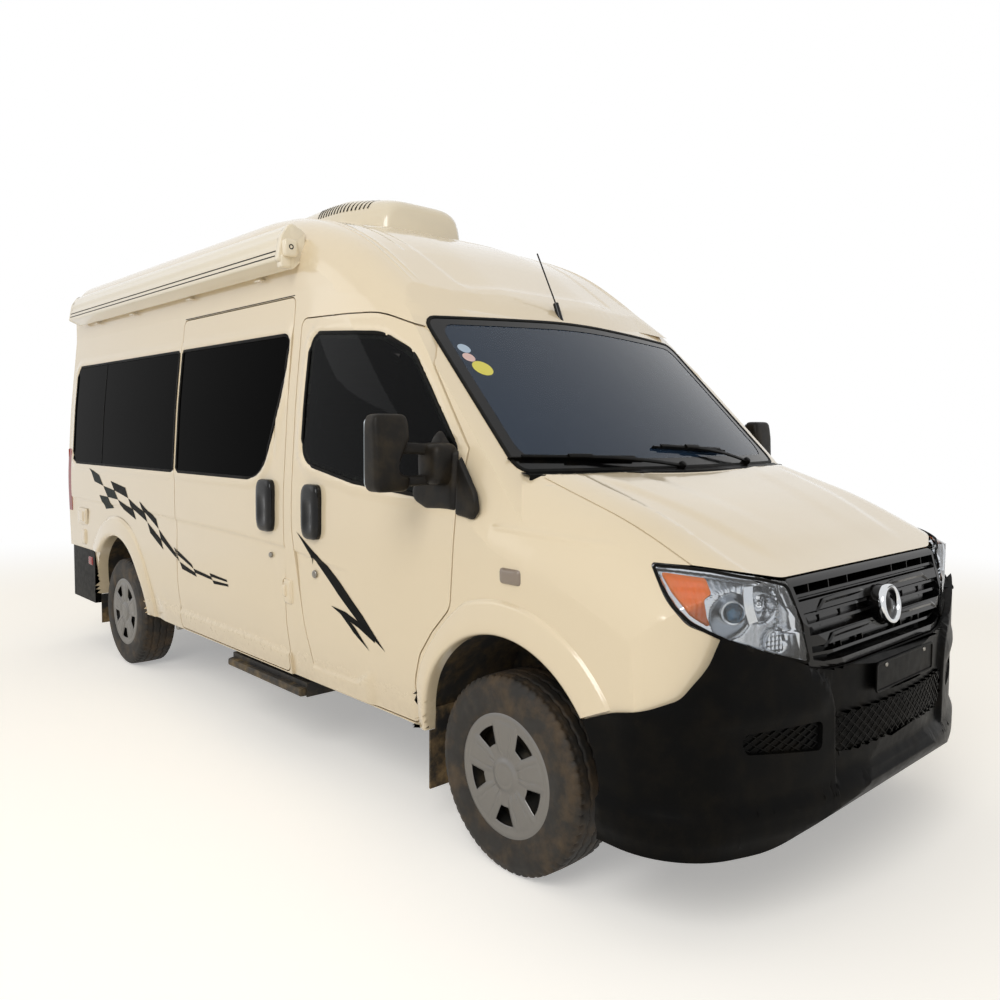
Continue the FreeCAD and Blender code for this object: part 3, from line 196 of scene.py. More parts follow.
def on_side(names, outline, side, out=0.0):
    """Side-view points (n, 2) laid on the outermost face of CAD nodes, then moved out from it."""
    y = drape(names, outline, 1, side)
    return np.stack([outline[:, 0], y + side * out, outline[:, 1]], -1)


# ---- making pieces
def piece(name, points, faces, finish, body, hard=35.0, smooth=True):
    """A mesh piece from points (n, 3) and faces; edges that turn more than `hard` degrees stay sharp."""
    mesh = bpy.data.meshes.new(name)
    mesh.from_pydata(np.asarray(points, float).tolist(), [], [list(map(int, f)) for f in faces])
    return shown(name, mesh, finish, body, hard, smooth)


def shown(name, mesh, finish, body, hard=35.0, smooth=True):
    """Put a finished mesh in the scene with its material, on the body that it moves with."""
    mesh.validate()
    if smooth:
        mesh.shade_smooth()
        mesh.set_sharp_from_angle(angle=math.radians(hard))
    mesh.materials.clear()
    mesh.materials.append(finish)
    thing = bpy.data.objects.new(name, mesh)
    bpy.context.scene.collection.objects.link(thing)
    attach(thing, body)
    return thing


def outward(mesh):
    """Merge doubled points and turn every face outwards."""
    work = bmesh.new()
    work.from_mesh(mesh)
    bmesh.ops.remove_doubles(work, verts=work.verts, dist=1e-5)
    bmesh.ops.recalc_face_normals(work, faces=work.faces)
    work.to_mesh(mesh)
    work.free()


def joined(name, parts, finish, body, hard=35.0):
    """One piece from several (points, faces) lists."""
    points, faces, first = [], [], 0
    for place, face in parts:
        points.append(np.asarray(place, float))
        faces += [[int(i) + first for i in f] for f in face]
        first += len(place)
    thing = piece(name, np.concatenate(points), faces, finish, body, hard)
    outward(thing.data)
    thing.data.set_sharp_from_angle(angle=math.radians(hard))
    return thing


def mirrored(part):
    """The same (points, faces) on the other side of the van, its faces turned the other way round."""
    points, faces = part
    return np.asarray(points) * (1, -1, 1), [list(f)[::-1] for f in faces]


def swept(path, section, closed=True, up=None):
    """Section points (m, 2), sideways and outwards, carried along a path (n, 3); `up` is outwards there.

    At each point the path's direction and the outward direction give the sideways one by their cross
    product, and the section is laid in those two.
    """
    path = np.asarray(path, float)
    if closed:
        along = np.roll(path, -1, 0) - np.roll(path, 1, 0)
    else:
        along = np.gradient(path, axis=0)
    along /= np.maximum(np.linalg.norm(along, axis=1), 1e-12)[:, None]
    up = np.broadcast_to(np.asarray(up, float), path.shape)
    up = up - (up * along).sum(1)[:, None] * along
    up = up / np.maximum(np.linalg.norm(up, axis=1), 1e-12)[:, None]
    side = np.cross(along, up)
    section = np.asarray(section, float)
    points = path[:, None] + side[:, None] * section[:, :1] + up[:, None] * section[:, 1:]
    faces = quads(len(path), len(section), closed, True).tolist()
    if not closed:
        last = (len(path) - 1) * len(section)
        faces += [list(range(len(section)))[::-1], list(range(last, last + len(section)))]
    return points.reshape(-1, 3), faces


def bar(width, height, corner=0.3, steps=3):
    """Rounded rectangular section round the origin."""
    r = corner * min(width, height)
    return rounded([(-width / 2, -height / 2, r), (width / 2, -height / 2, r),
            (width / 2, height / 2, r), (-width / 2, height / 2, r)], steps)


def turned(profile, centre, axis=(0, 1, 0), count=64):
    """Surface of revolution: profile (radius, level) turned about an axis through a centre."""
    profile = np.asarray(profile, float)
    axis = np.asarray(axis, float) / np.linalg.norm(axis)
    one = np.cross(axis, (0, 0, 1) if abs(axis[2]) < 0.9 else (1, 0, 0))
    one /= np.linalg.norm(one)
    two = np.cross(axis, one)
    angle = np.linspace(0, 2 * math.pi, count, endpoint=False)
    spoke = np.cos(angle)[:, None] * one + np.sin(angle)[:, None] * two
    points = centre + spoke[:, None] * profile[None, :, :1] + axis * profile[None, :, 1:]
    return points.reshape(-1, 3), quads(count, len(profile), True, False).tolist()


def slab(outline, place, thickness, direction):
    """Plate: an outline already laid in space as (n, 3), with the same outline moved along a direction."""
    place = np.asarray(place, float)
    back = place - np.asarray(direction, float) * thickness
    n = len(place)
    faces = [list(range(n)), list(range(2 * n - 1, n - 1, -1))]
    faces += quads(2, n, False, True)[:, ::-1].tolist()
    return np.concatenate([place, back]), faces


def patch(outline, rings, spacing):
    """Flat points and faces that fill an outline: rings shrink towards its middle, with a fan at the end."""
    line = even(outline, spacing)
    centre = line.mean(0)
    share = np.linspace(1, 0, rings + 1)[:-1]
    points = centre + (line - centre)[None] * share[:, None, None]
    n = len(line)
    faces = quads(rings, n, False, True).tolist()
    first = (rings - 1) * n
    faces += [[first + i, first + (i + 1) % n, rings * n] for i in range(n)]
    return np.vstack([points.reshape(-1, 2), centre]), faces, np.append(np.repeat(share, n), 0.0)


def pressed(name, node, relief, cuts, finish, body, hard=32.0):
    """A CAD panel cut by evenly spaced planes into small faces, its outer skin moved by `relief`."""
    work = bmesh.new()
    work.from_mesh(NODES[node].data)
    bmesh.ops.remove_doubles(work, verts=work.verts, dist=2e-5)
    for axis, low, high, step in cuts:
        across = Vector([float(k == axis) for k in range(3)])
        for level in np.arange(low, high, step):
            everything = work.verts[:] + work.edges[:] + work.faces[:]
            bmesh.ops.bisect_plane(work, geom=everything, plane_co=across * float(level), plane_no=across)
    mesh = bpy.data.meshes.new(name)
    work.to_mesh(mesh)
    work.free()
    for stale in ("custom_normal", "sharp_edge", "sharp_face"):
        if stale in mesh.attributes:
            mesh.attributes.remove(mesh.attributes[stale])
    place = np.empty(len(mesh.vertices) * 3)
    normal = np.empty(len(mesh.vertices) * 3)
    mesh.vertices.foreach_get("co", place)
    mesh.vertices.foreach_get("normal", normal)
    place = relief(place.reshape(-1, 3), normal.reshape(-1, 3))
    mesh.vertices.foreach_set("co", place.ravel())
    mesh.update()
    thing = shown(name, mesh, finish, body, hard)
    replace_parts(thing, node)
    return thing


# ---- materials
def colour(code):
    """Linear colour of an sRGB hex value."""
    parts = np.array([int(code[i:i + 2], 16) for i in (0, 2, 4)]) / 255
    linear = np.where(parts <= 0.04045, parts / 12.92, ((parts + 0.055) / 1.055) ** 2.4)
    return (*linear.tolist(), 1.0)


def add(tree, kind, inputs=None, **settings):
    """Add a node: settings are its own, inputs its sockets by name or number, given a value or a link."""
    node = tree.nodes.new("ShaderNode" + kind)
    for key, value in settings.items():
        setattr(node, key, value)
    for key, value in (inputs or {}).items():
        if isinstance(value, bpy.types.NodeSocket):
            tree.links.new(value, node.inputs[key])
        else:
            node.inputs[key].default_value = value
    return node


def begin(name):
    """A new material's node tree, with the object's own coordinates in millimetres."""
    material = bpy.data.materials.new(name)
    material.use_nodes = True
    tree = material.node_tree
    tree.nodes.clear()
    place = add(tree, "TexCoord").outputs["Object"]
    mm = add(tree, "VectorMath", {0: place, "Scale": 1000.0}, operation="SCALE").outputs[0]
    return material, tree, mm


def end(tree, shader):
    """Send a shader to the surface."""
    add(tree, "OutputMaterial", {"Surface": shader})


def paint(name, tone, dust="8F7A58", dust_top=620.0, patches=0.05):
    """Two-coat gloss paint: clear lacquer, a sharp gloss on faint orange peel, and road dust low down."""
    material, tree, mm = begin(name)
    height = add(tree, "SeparateXYZ", {0: mm}).outputs[2]
    low = add(tree, "MapRange", {0: height, 1: dust_top, 2: 330.0},
              interpolation_type="SMOOTHSTEP").outputs[0]
    splash = add(tree, "TexNoise", {0: mm, "Scale": 1 / 35, "Detail": 8.0, "Roughness": 0.7}).outputs[0]
    patchy = add(tree, "MapRange", {0: splash, 1: 0.30, 2: 0.80, 3: 0.06, 4: 0.34})
    film = add(tree, "Math", {0: low, 1: patchy.outputs[0]}, operation="MULTIPLY").outputs[0]
    cloud = add(tree, "TexNoise", {0: mm, "Scale": 1 / 420, "Detail": 4.0}).outputs[0]
    faded = add(tree, "MapRange", {0: cloud, 1: 0.35, 2: 0.7, 4: patches}, interpolation_type="SMOOTHSTEP")
    shade = add(tree, "Mix", {0: faded.outputs[0], 6: colour(tone), 7: colour("D6C29C")}, data_type="RGBA")
    shade = add(tree, "Mix", {0: film, 6: shade.outputs[2], 7: colour(dust)}, data_type="RGBA")
    rough = add(tree, "Math", {0: film, 1: 0.5, 2: 0.24}, operation="MULTIPLY_ADD").outputs[0]
    peel = add(tree, "TexNoise", {0: mm, "Scale": 1 / 9, "Detail": 1.0}).outputs[0]
    bump = add(tree, "Bump", {"Height": peel, "Strength": 0.03, "Distance": 0.0004}).outputs[0]
    shader = add(tree, "BsdfPrincipled", {"Base Color": shade.outputs[2], "Roughness": rough, "IOR": 1.5,
            "Coat Weight": 0.8, "Coat Roughness": 0.05, "Coat IOR": 1.5,
            "Coat Normal": bump})
    end(tree, shader.outputs[0])
    return material


def plastic(name, tone, rough, size, depth, dust=0.0, dust_tone="7A6A4E", index=1.49):
    """Moulded plastic or rubber: etched pores `size` mm across and `depth` mm deep, under a film of dust.

    The pores swallow part of the sheen, which a lower `index` stands for.
    """
    material, tree, mm = begin(name)
    pores = add(tree, "TexNoise", {0: mm, "Scale": 1 / size, "Detail": 3.0, "Roughness": 0.6}).outputs[0]
    blown = add(tree, "TexNoise", {0: mm, "Scale": 1 / 90, "Detail": 5.0, "Roughness": 0.6}).outputs[0]
    film = add(tree, "MapRange", {0: blown, 1: 0.4, 2: 0.75, 4: dust},
            interpolation_type="SMOOTHSTEP").outputs[0]
    shade = add(tree, "Mix", {0: film, 6: colour(tone), 7: colour(dust_tone)}, data_type="RGBA").outputs[2]
    handled = add(tree, "TexNoise", {0: mm, "Scale": 1 / 35, "Detail": 3.0}).outputs[0]
    uneven = add(tree, "MapRange", {0: handled, 1: 0.3, 2: 0.7, 3: rough - 0.05, 4: rough + 0.06}).outputs[0]
    bump = add(tree, "Bump", {"Height": pores, "Strength": 0.6, "Distance": depth / 1000}).outputs[0]
    shader = add(tree, "BsdfPrincipled", {"Base Color": shade, "Roughness": uneven, "IOR": index,
            "Normal": bump})
    end(tree, shader.outputs[0])
    return material


def plated(name, tone, rough=0.08):
    """Metal film or sheet: a bright mirror with faint waviness and a roughness that wanders."""
    material, tree, mm = begin(name)
    ripple = add(tree, "TexNoise", {0: mm, "Scale": 1 / 14, "Detail": 1.0}).outputs[0]
    wave = add(tree, "Bump", {"Height": ripple, "Strength": 0.15, "Distance": 0.0004}).outputs[0]
    worn = add(tree, "TexNoise", {0: mm, "Scale": 1 / 20, "Detail": 4.0}).outputs[0]
    uneven = add(tree, "MapRange", {0: worn, 1: 0.4, 2: 0.8, 3: rough, 4: rough + 0.08}).outputs[0]
    shader = add(tree, "BsdfPrincipled", {"Base Color": colour(tone), "Metallic": 1.0, "Roughness": uneven,
            "Normal": wave})
    end(tree, shader.outputs[0])
    return material


def see_through(name, tone, film, dark, index=1.5):
    """Clear or tinted sheet: a share `dark` of the light meets a film, the rest passes; glossy outside. The
    film is a tint, but the windscreen's blue-grey film is painted reflection.
    """
    material, tree, mm = begin(name)
    wiped = add(tree, "TexNoise", {0: mm, "Scale": 1 / 120, "Detail": 5.0}).outputs[0]
    smear = add(tree, "MapRange", {0: wiped, 1: 0.45, 2: 0.8, 4: 0.06}).outputs[0]
    clear = add(tree, "BsdfTransparent", {0: colour(tone)}).outputs[0]
    coat = add(tree, "BsdfDiffuse", {0: colour(film)}).outputs[0]
    inner = add(tree, "MixShader", {0: dark, 1: clear, 2: coat}).outputs[0]
    gloss = add(tree, "BsdfGlossy", {0: (1.0, 1.0, 1.0, 1.0), "Roughness": smear}).outputs[0]
    edge = add(tree, "Fresnel", {"IOR": index}).outputs[0]
    end(tree, add(tree, "MixShader", {0: edge, 1: inner, 2: gloss}).outputs[0])
    return material


# Each comment says what the real finish gives the eye.
# warm ivory, wet gloss, brown film at the sill
cream_paint = paint("cream_two_coat_paint", "E6D6B8")
# the same, dull yellow patches in the lacquer
bonnet_paint = paint("sun_faded_cream_paint", "E6D6B8", patches=0.22)
# paler and cooler, a little softer gloss
cap_plastic = paint("cream_gelcoat", "EBE0C8")
satin_bumper = plastic("grained_abs_bumper", "070707", 0.40, 1.4, 0.10, 0.02, index=1.14)   # near-black satin
# wet black, long highlights
gloss_abs = plastic("piano_gloss_abs", "070708", 0.14, 60.0, 0.05, 0.02, index=1.36)
# warm black bloomed by the sun
mirror_abs = plastic("fine_grained_abs", "1A1816", 0.42, 1.6, 0.10, 0.10, index=1.25)
seal_rubber = plastic("extruded_seal_rubber", "080808", 0.6, 2.0, 0.05, 0.03, index=1.2)    # matt black line
# waxy black, dust settled on it
under_paint = plastic("chassis_wax_black", "141312", 0.6, 3.0, 0.3, 0.35)
# dull black caked with dry mud
arch_liner = plastic("dusty_arch_liner", "17140F", 0.8, 4.0, 0.6, 0.75, "6A5636")
# black under brown spatter
mud_rubber = plastic("mud_spattered_rubber", "151413", 0.75, 4.0, 0.6, 0.95, "8C7450")
# black with brown wear
step_rubber = plastic("trodden_step_rubber", "1A1713", 0.6, 3.0, 0.3, 0.7, "7D6844")
cast_iron = plastic("bare_cast_iron", "4A4641", 0.65, 2.5, 0.3, 0.4)            # rough warm grey
trim_plastic = plastic("cabin_trim_plastic", "5E463B", 0.6, 1.2, 0.1)           # matt brown, no highlight
blind_cloth = plastic("dark_pleated_blind", "1E1C1B", 0.85, 1.5, 0.2)           # charcoal cloth
vinyl_black = plastic("matt_black_vinyl", "060606", 0.5, 40.0, 0.02, index=1.15)       # flat film, even black
# the same film, grey-green
vinyl_green = plastic("dark_green_grey_vinyl", "171F1C", 0.5, 40.0, 0.02, index=1.18)
bright_chrome = plated("chromed_plastic", "D8DADC")                     # mirror bright
dull_steel = plated("dull_pressed_steel", "8F8B84", 0.35)               # grey, blurred highlight
cover_silver = plated("silver_lacquered_cover", "7C7A77", 0.34)         # fine silver, satin
lamp_silver = plated("vapour_coated_reflector", "C9CDD2", 0.12)         # silver-blue mirror
mirror_silver = plated("silvered_mirror_glass", "B9C0C4", 0.02)         # clean reflection
# nearly invisible, bright edge glints
clear_lens = see_through("clear_polycarbonate", "FAFBFC", "D5DAE0", 0.03)
projector_glass = see_through("blue_cast_projector_lens", "9FC4DA", "27404E", 0.35)   # deep bluish ball
amber_lens = plastic("amber_acrylic", "E8780F", 0.10, 5.0, 0.5)         # saturated orange with facets
red_lens = plastic("red_acrylic", "8E0F12", 0.12, 5.0, 0.4)             # deep red with facets
smoked_lens = plastic("smoked_acrylic", "8C7F73", 0.10, 6.0, 0.6)       # greyish, glassy
# painted reflection: a blue-grey film over the cab that stands for dark trees and sky mirrored in the glass
screen_glass_with_painted_reflection = see_through("laminated_windscreen", "D3DEE4", "3E5A7C", 0.26, 1.33)
cab_glass = see_through("tinted_toughened_glass", "6C7376", "0C0D0F", 0.35, 1.12)     # dim view of the blinds
privacy_glass = see_through("black_privacy_glass", "030303", "020202", 0.97, 1.05)    # black mirror
paper = plastic("plain_paper", "E8E4DA", 0.8, 0.6, 0.02)                # dull white
sticker_blue = plastic("pale_blue_sticker", "A9BCD0", 0.4, 3.0, 0.02)   # printed film, one flat colour
sticker_pink = plastic("pale_pink_sticker", "D8B9B4", 0.4, 3.0, 0.02)   # printed film, one flat colour
sticker_yellow = plastic("yellow_sticker", "D9D05A", 0.4, 3.0, 0.02)    # printed film, one flat colour
tan_leather = plastic("red_brown_leather", "7A3D2A", 0.45, 2.2, 0.25)   # worn hide, low sheen over its grain
curtain_cloth = plastic("blue_grey_curtain", "36414D", 0.9, 1.6, 0.3)   # dull blue-grey cloth


# ---- the sides' common forms
SKIN_HEIGHTS = np.arange(0.40, 2.13, 0.01)
SKIN_HALVES = drape(["side_panel_left", "side_windows"],
        np.stack([np.full(len(SKIN_HEIGHTS), AXLE - 2.30), SKIN_HEIGHTS], -1), 1, 1.0)
UPPER_CREASE = flat([(-4500, 1041), (-3800, 1034), (-3200, 1037), (-2670, 1019), (-1990, 1009), (-1430, 989),
        (-1050, 951), (-820, 932)])
WING_CREASE = flat([(-60, 1192), (6, 1190), (214, 1176), (400, 1164), (470, 1150)])
LOWER_CREASE = flat([(-3010, 579), (-2950, 530), (-2870, 500), (-2360, 495), (-1770, 503), (-1385, 486),
        (-1147, 467), (-873, 478), (-782, 529), (-740, 589)])
FRONT_GLASS = side_outline([(-1262, 1938, 70), (-1280, 1372, 90), (-860, 1302, 300), (-262, 1262, 20),
        (-262, 1450, 30), (-570, 1812, 180), (-760, 1900, 300)])
PANEL_GLASS = side_outline([(-4430, 1946, 60), (-4430, 1280, 60), (-2677, 1280, 12), (-2677, 1946, 12)])
SLIDING_GLASS = side_outline([(-2633, 1946, 12), (-2633, 1280, 12), (-1640, 1280, 190), (-1478, 1700, 700),
        (-1444, 1946, 45)])
LEFT_GLASS = side_outline([(-4430, 1946, 60), (-4430, 1280, 60), (-1640, 1280, 190), (-1478, 1700, 700),
        (-1444, 1946, 45)])
ARCHES = [(AXLE + 0.020, 0.395), (REAR_AXLE - 0.020, 0.395)]     # centres of the wheel arches
ARCH_EDGE, LIP_FOOT = 0.434, 0.560      # radius of the opening, and of the lip's foot
# where the corner arc starts, its centre, its radius
NOSE_START, NOSE_SIDE, NOSE_ARC = 0.4506, 0.679, 0.33


def nose_half(x):
    """Half-width of the nose at a place along the van: full until its corner arc of 330 mm begins."""
    past = np.clip(x - AXLE - NOSE_START, 0, NOSE_ARC - 0.0001)
    return NOSE_SIDE + np.sqrt(NOSE_ARC ** 2 - past ** 2)


def side_relief(glass):
    """The pressings of a side panel, door or wing, as a function that moves its outer skin.

    Below the upper crease the skin steps in by 9 mm and eases back out; below the lower crease the sill
    swells by 12 mm; a soft ridge of 7 mm runs round the glass, and one of 6 mm along the wing. Round each
    wheel arch the skin is brought back to its plain curve, 3 mm under the lip that covers it.
    """
    def move(points, normals):
        side = np.sign(points[:, 1])
        outer = (normals[:, 1] * side > 0.25) & (points[:, 2] < 2.135)
        x, z = points[:, 0], points[:, 2]
        flat_points = points[:, (0, 2)]
        above = to_line(flat_points, UPPER_CREASE)
        fade = ease(x, UPPER_CREASE[0, 0] - 0.05, UPPER_CREASE[0, 0] + 0.1) * (
            1 - ease(x, UPPER_CREASE[-1, 0] - 0.35, UPPER_CREASE[-1, 0]))
        grow = -0.009 * ease(-above, 0, 0.018) * (1 - ease(-above, 0.03, 0.26)) * fade
        low = to_line(flat_points, LOWER_CREASE)
        within = ease(x, LOWER_CREASE[0, 0], LOWER_CREASE[0, 0] + 0.12) * (
            1 - ease(x, LOWER_CREASE[-1, 0] - 0.06, LOWER_CREASE[-1, 0]))
        grow += 0.012 * ease(-low, -0.010, 0.014) * within
        ledge = to_line(flat_points, WING_CREASE)
        grow += 0.006 * (hump(ledge, 0.0, 0.030) * ease(x, WING_CREASE[0, 0], WING_CREASE[0, 0] + 0.05) * (
            1 - ease(x, WING_CREASE[-1, 0] - 0.12, WING_CREASE[-1, 0])))
        for outline in glass:
            gap = distance(flat_points, even(outline, 0.03))
            grow += 0.007 * ease(gap, 0.0, 0.014) * (1 - ease(gap, 0.022, 0.062))
        for centre in ARCHES:
            reach = np.hypot(x - centre[0], z - centre[1])
            near = outer & (reach < 0.60)
            base = np.minimum(np.interp(z, SKIN_HEIGHTS, SKIN_HALVES), nose_half(x))
            covered = 1 - ease(reach, 0.500, 0.535)
            share = 1 - ease(reach, 0.555, 0.60)
            points[near, 1] = (side * (base * share + np.abs(points[:, 1]) * (1 - share)))[near]
            grow = np.where(near, grow * (1 - covered) - 0.003 * covered, grow)
        points[outer, 1] += (side * grow)[outer]
        return points
    return move


def steps(axis, low, high, size):
    """Cutting planes across an axis, for pressed()."""
    return axis, low, high, size


fine_sill = [steps(2, 0.43, 0.62, 0.008), steps(2, 0.92, 1.06, 0.009)]
for side_name, side, windows in (("right", RIGHT, [PANEL_GLASS]), ("left", LEFT, [LEFT_GLASS])):
    low_x, high_x = (corner[0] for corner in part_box("side_panel_" + side_name))
    pressed("side_skin_" + side_name, "side_panel_" + side_name, side_relief(windows),
            [steps(0, low_x, high_x, 0.05), steps(0, REAR_AXLE - 0.62, REAR_AXLE + 0.58, 0.024),
             steps(2, 0.40, 1.00, 0.024), steps(2, 0.94, 1.06, 0.009), steps(2, 1.20, 1.30, 0.012),
             steps(2, 1.92, 2.02, 0.012)], cream_paint, "body")
    low_x, high_x = (corner[0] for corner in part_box("front_door_" + side_name))
    pressed("front_door_skin_" + side_name, "front_door_" + side_name, side_relief([FRONT_GLASS]),
            [steps(0, low_x, high_x, 0.022), steps(2, 0.40, 2.02, 0.022), steps(2, 0.91, 1.0, 0.009),
             steps(2, 0.45, 0.55, 0.008)], cream_paint,
            "front_door_" + side_name)
pressed("sliding_door_skin", "sliding_door", side_relief([SLIDING_GLASS]),
        [steps(0, AXLE - 2.66, AXLE - 1.42, 0.035), steps(0, AXLE - 1.70, AXLE - 1.43, 0.014),
         steps(2, 1.20, 1.36, 0.012), steps(2, 1.92, 2.02, 0.012), *fine_sill], cream_paint, "body")
pressed("wing_skins", "front_wings", side_relief([]),
        [steps(0, AXLE - 0.55, AXLE + 0.62, 0.025), steps(2, 0.40, 1.02, 0.024), steps(2, 1.13, 1.21, 0.007)],
        cream_paint, "body")


def arch_lip(centre, side, start, stop, foot):
    """Lip round a wheel arch as a surface of two parameters, across its section and round the arch.

    The section rolls in at the opening, rises to a crest 21 mm proud and falls to 12 mm, then drops to the
    skin at `foot`, a radius read from the angle. `start` and `stop` give the end angles at a radius.
    """
    section = np.array([(0.434, -0.034), (0.4325, -0.006), (0.434, 0.008), (0.4385, 0.0165), (0.447, 0.0205),
            (0.460, 0.0212), (0.478, 0.0200), (0.500, 0.0175), (0.520, 0.0145), (0.536, 0.0125),
            (0.5435, 0.0112), (0.5475, 0.0085), (0.5515, 0.0035), (0.5545, 0.0), (0.560, -0.004)])
    share = np.linspace(0, 1, 121)[None]
    radius, out = section[:, :1], section[:, 1:]
    angle = start(radius) + (stop(radius) - start(radius)) * share
    edge = foot(np.degrees(angle))
    radius = ARCH_EDGE + (radius - ARCH_EDGE) * (edge - ARCH_EDGE) / (LIP_FOOT - ARCH_EDGE)
    x = centre[0] + radius * np.cos(angle)
    z = centre[1] + radius * np.sin(angle)
    level = np.minimum(np.interp(z, SKIN_HEIGHTS, SKIN_HALVES), nose_half(x)) + out
    return np.stack([x, side * level, z], -1).reshape(-1, 3), quads(len(section), 121).tolist()


def upto_bumper(radius):
    """Angle at which the front lip meets the bumper's edge, 6 mm clear of it."""
    return np.radians(np.interp(radius, [0.434, 0.560], [34.8, 32.4]))


def upto_sill(radius):
    """Angle at which a lip meets the lower edge of the sides, 4 mm below the arch's centre."""
    return math.pi + np.arcsin(0.004 / radius)


def from_sill(radius):
    """Angle at which the rear lip leaves the lower edge of the sides, 4 mm below the arch's centre."""
    return -np.arcsin(0.004 / radius)


def above_rear_bumper(radius):
    """Angle at which the rear lip meets the rear bumper's top, 297 mm above the arch's centre."""
    return math.pi - np.arcsin(0.297 / radius)


def beside_door(angle):
    """Radius of the front lip's foot: full in front, drawn in along the cab door's lower front corner."""
    return np.interp(angle, [110, 119, 134, 148, 159, 170, 181],
            [0.560, 0.541, 0.517, 0.511, 0.508, 0.493, 0.485])


for side, side_name in ((RIGHT, "right"), (LEFT, "left")):
    lips = [arch_lip(ARCHES[0], side, upto_bumper, upto_sill, beside_door),
            arch_lip(ARCHES[1], side, from_sill, above_rear_bumper, lambda angle: LIP_FOOT + 0 * angle)]
    joined("arch_lips_" + side_name, lips, cream_paint, "body", 40.0)


# ---- roof, bonnet and cab
CAP_PANEL = [(-1480, -560, 60), (-760, -500, 60), (-760, 500, 60), (-1480, 560, 60)]


def roof_relief(points, normals):
    """A shallow pressed panel over the cab and a pair of drip lines along each shoulder."""
    outer = normals[:, 2] > 0.25
    plan = points[:, :2]
    outline = rounded(CAP_PANEL) / 1000 + (AXLE, 0.0)
    sunk = -0.006 * ease(-distance(plan, outline), -0.012, 0.018)
    lines = 0.004 * (hump(np.abs(plan[:, 1]), 0.700, 0.016) + hump(np.abs(plan[:, 1]), 0.735, 0.016))
    lines *= 1 - ease(plan[:, 0], AXLE - 0.90, AXLE - 0.78)
    points[outer, 2] += (sunk + lines)[outer]
    return points


def bonnet_relief(points, normals):
    """A raised middle with a shallow centre, between two soft creases that draw together to the nose."""
    outer = normals[:, 2] > 0.25
    x, y = points[:, 0] - AXLE, np.abs(points[:, 1])
    edge = np.interp(x, [0.0, 0.78], [0.66, 0.44])
    raised = 0.009 * (1 - ease(y, edge - 0.045, edge + 0.03))
    centre = -0.004 * (1 - ease(y, edge - 0.32, edge - 0.20)) * (1 - ease(x, 0.45, 0.7))
    fade = ease(x, 0.05, 0.2) * (1 - ease(x, 0.60, 0.74))
    points[outer, 2] += ((raised + centre) * fade)[outer]
    return points


def still(points, normals):
    """Leave a panel's shape as it is."""
    return points


pressed("roof_skin", "roof_shell", roof_relief,
        [steps(0, AXLE - 4.54, AXLE - 0.55, 0.10), steps(0, AXLE - 1.55, AXLE - 0.70, 0.028),
         steps(2, 2.14, 2.56, 0.07),
         steps(1, -0.90, 0.90, 0.06), steps(1, -0.60, -0.46, 0.014), steps(1, 0.46, 0.60, 0.014),
         steps(1, -0.75, -0.685, 0.005), steps(1, 0.685, 0.75, 0.005)],
        cream_paint, "body")
pressed("bonnet_skin", "bonnet", bonnet_relief,
        [steps(0, AXLE, AXLE + 0.80, 0.025), steps(1, -0.80, 0.80, 0.022)], bonnet_paint, "bonnet")
pressed("cab_frame_skin", "cab_frame", still, [], cream_paint, "body")
for side_name in ("left", "right"):
    pressed("rear_door_skin_" + side_name, "rear_door_" + side_name, still, [], cream_paint,
            "rear_door_" + side_name)


# ---- bumper
POD_EDGE = np.array([(0.30, 0.400), (0.45, 0.408), (0.55, 0.415), (0.68, 0.420), (0.74, 0.440), (0.78, 0.475),
        (0.80, 0.520), (0.90, 0.60)])


def bumper_relief(points, normals):
    """The middle lies 20 mm behind the side pods; below 430 mm a lip stands 14 mm proud and rounds under."""
    outer = (normals[:, 0] > 0.25) | (np.abs(normals[:, 1]) * np.sign(points[:, 1] * normals[:, 1]) > 0.5)
    outer &= points[:, 0] > AXLE + 0.25
    y, z = np.abs(points[:, 1]), points[:, 2]
    edge = np.interp(z, POD_EDGE[:, 0], POD_EDGE[:, 1])
    pocket = -0.020 * (1 - ease(y, edge - 0.012, edge + 0.008)) * ease(z, 0.44, 0.47)
    lip = 0.014 * ease(-z, -0.435, -0.418) * (1 - ease(-z, -0.36, -0.30))
    brow = 0.008 * hump(z, 0.70, 0.10) * ease(y, edge, edge + 0.08)
    flat_normal = normals * (1, 1, 0)
    flat_normal /= np.maximum(np.linalg.norm(flat_normal, axis=1), 1e-6)[:, None]
    points[outer] += (flat_normal * (pocket + lip + brow)[:, None])[outer]
    return points


pressed("bumper_skin", "front_bumper", bumper_relief,
        [steps(1, -0.98, 0.98, 0.028), steps(2, 0.30, 1.0, 0.018), steps(0, AXLE + 0.30, AXLE + 0.80, 0.035),
         steps(1, 0.39, 0.46, 0.005), steps(1, -0.46, -0.39, 0.005)],
        satin_bumper, "body", hard=40.0)


def lattice(outline, pitch, lean, wire, out):
    """Diamond mesh in front of the bumper: two sets of parallel wires, each laid on the plates behind."""
    parts = []
    low, high = outline.min(0), outline.max(0)
    middle, half = (low + high) / 2, np.linalg.norm(high - low) / 2
    for turn in (lean, -lean):
        along = np.array([math.cos(turn), math.sin(turn)])
        across = np.array([-along[1], along[0]])
        for offset in np.arange(-half, half, pitch):
            line = middle + across * offset + along * np.arange(-half, half, 0.012)[:, None]
            inside = distance(line, outline) < -0.001
            if inside.sum() < 2:
                continue
            line = line[np.flatnonzero(inside)[0]:np.flatnonzero(inside)[-1] + 1]
            level = drape(["front_bumper"], line, 0, 1.0)
            path = np.stack([level + out, line[:, 0], line[:, 1]], -1)
            parts.append(swept(path, bar(wire, wire, 0.2, 1), False, (1, 0, 0)))
    return parts


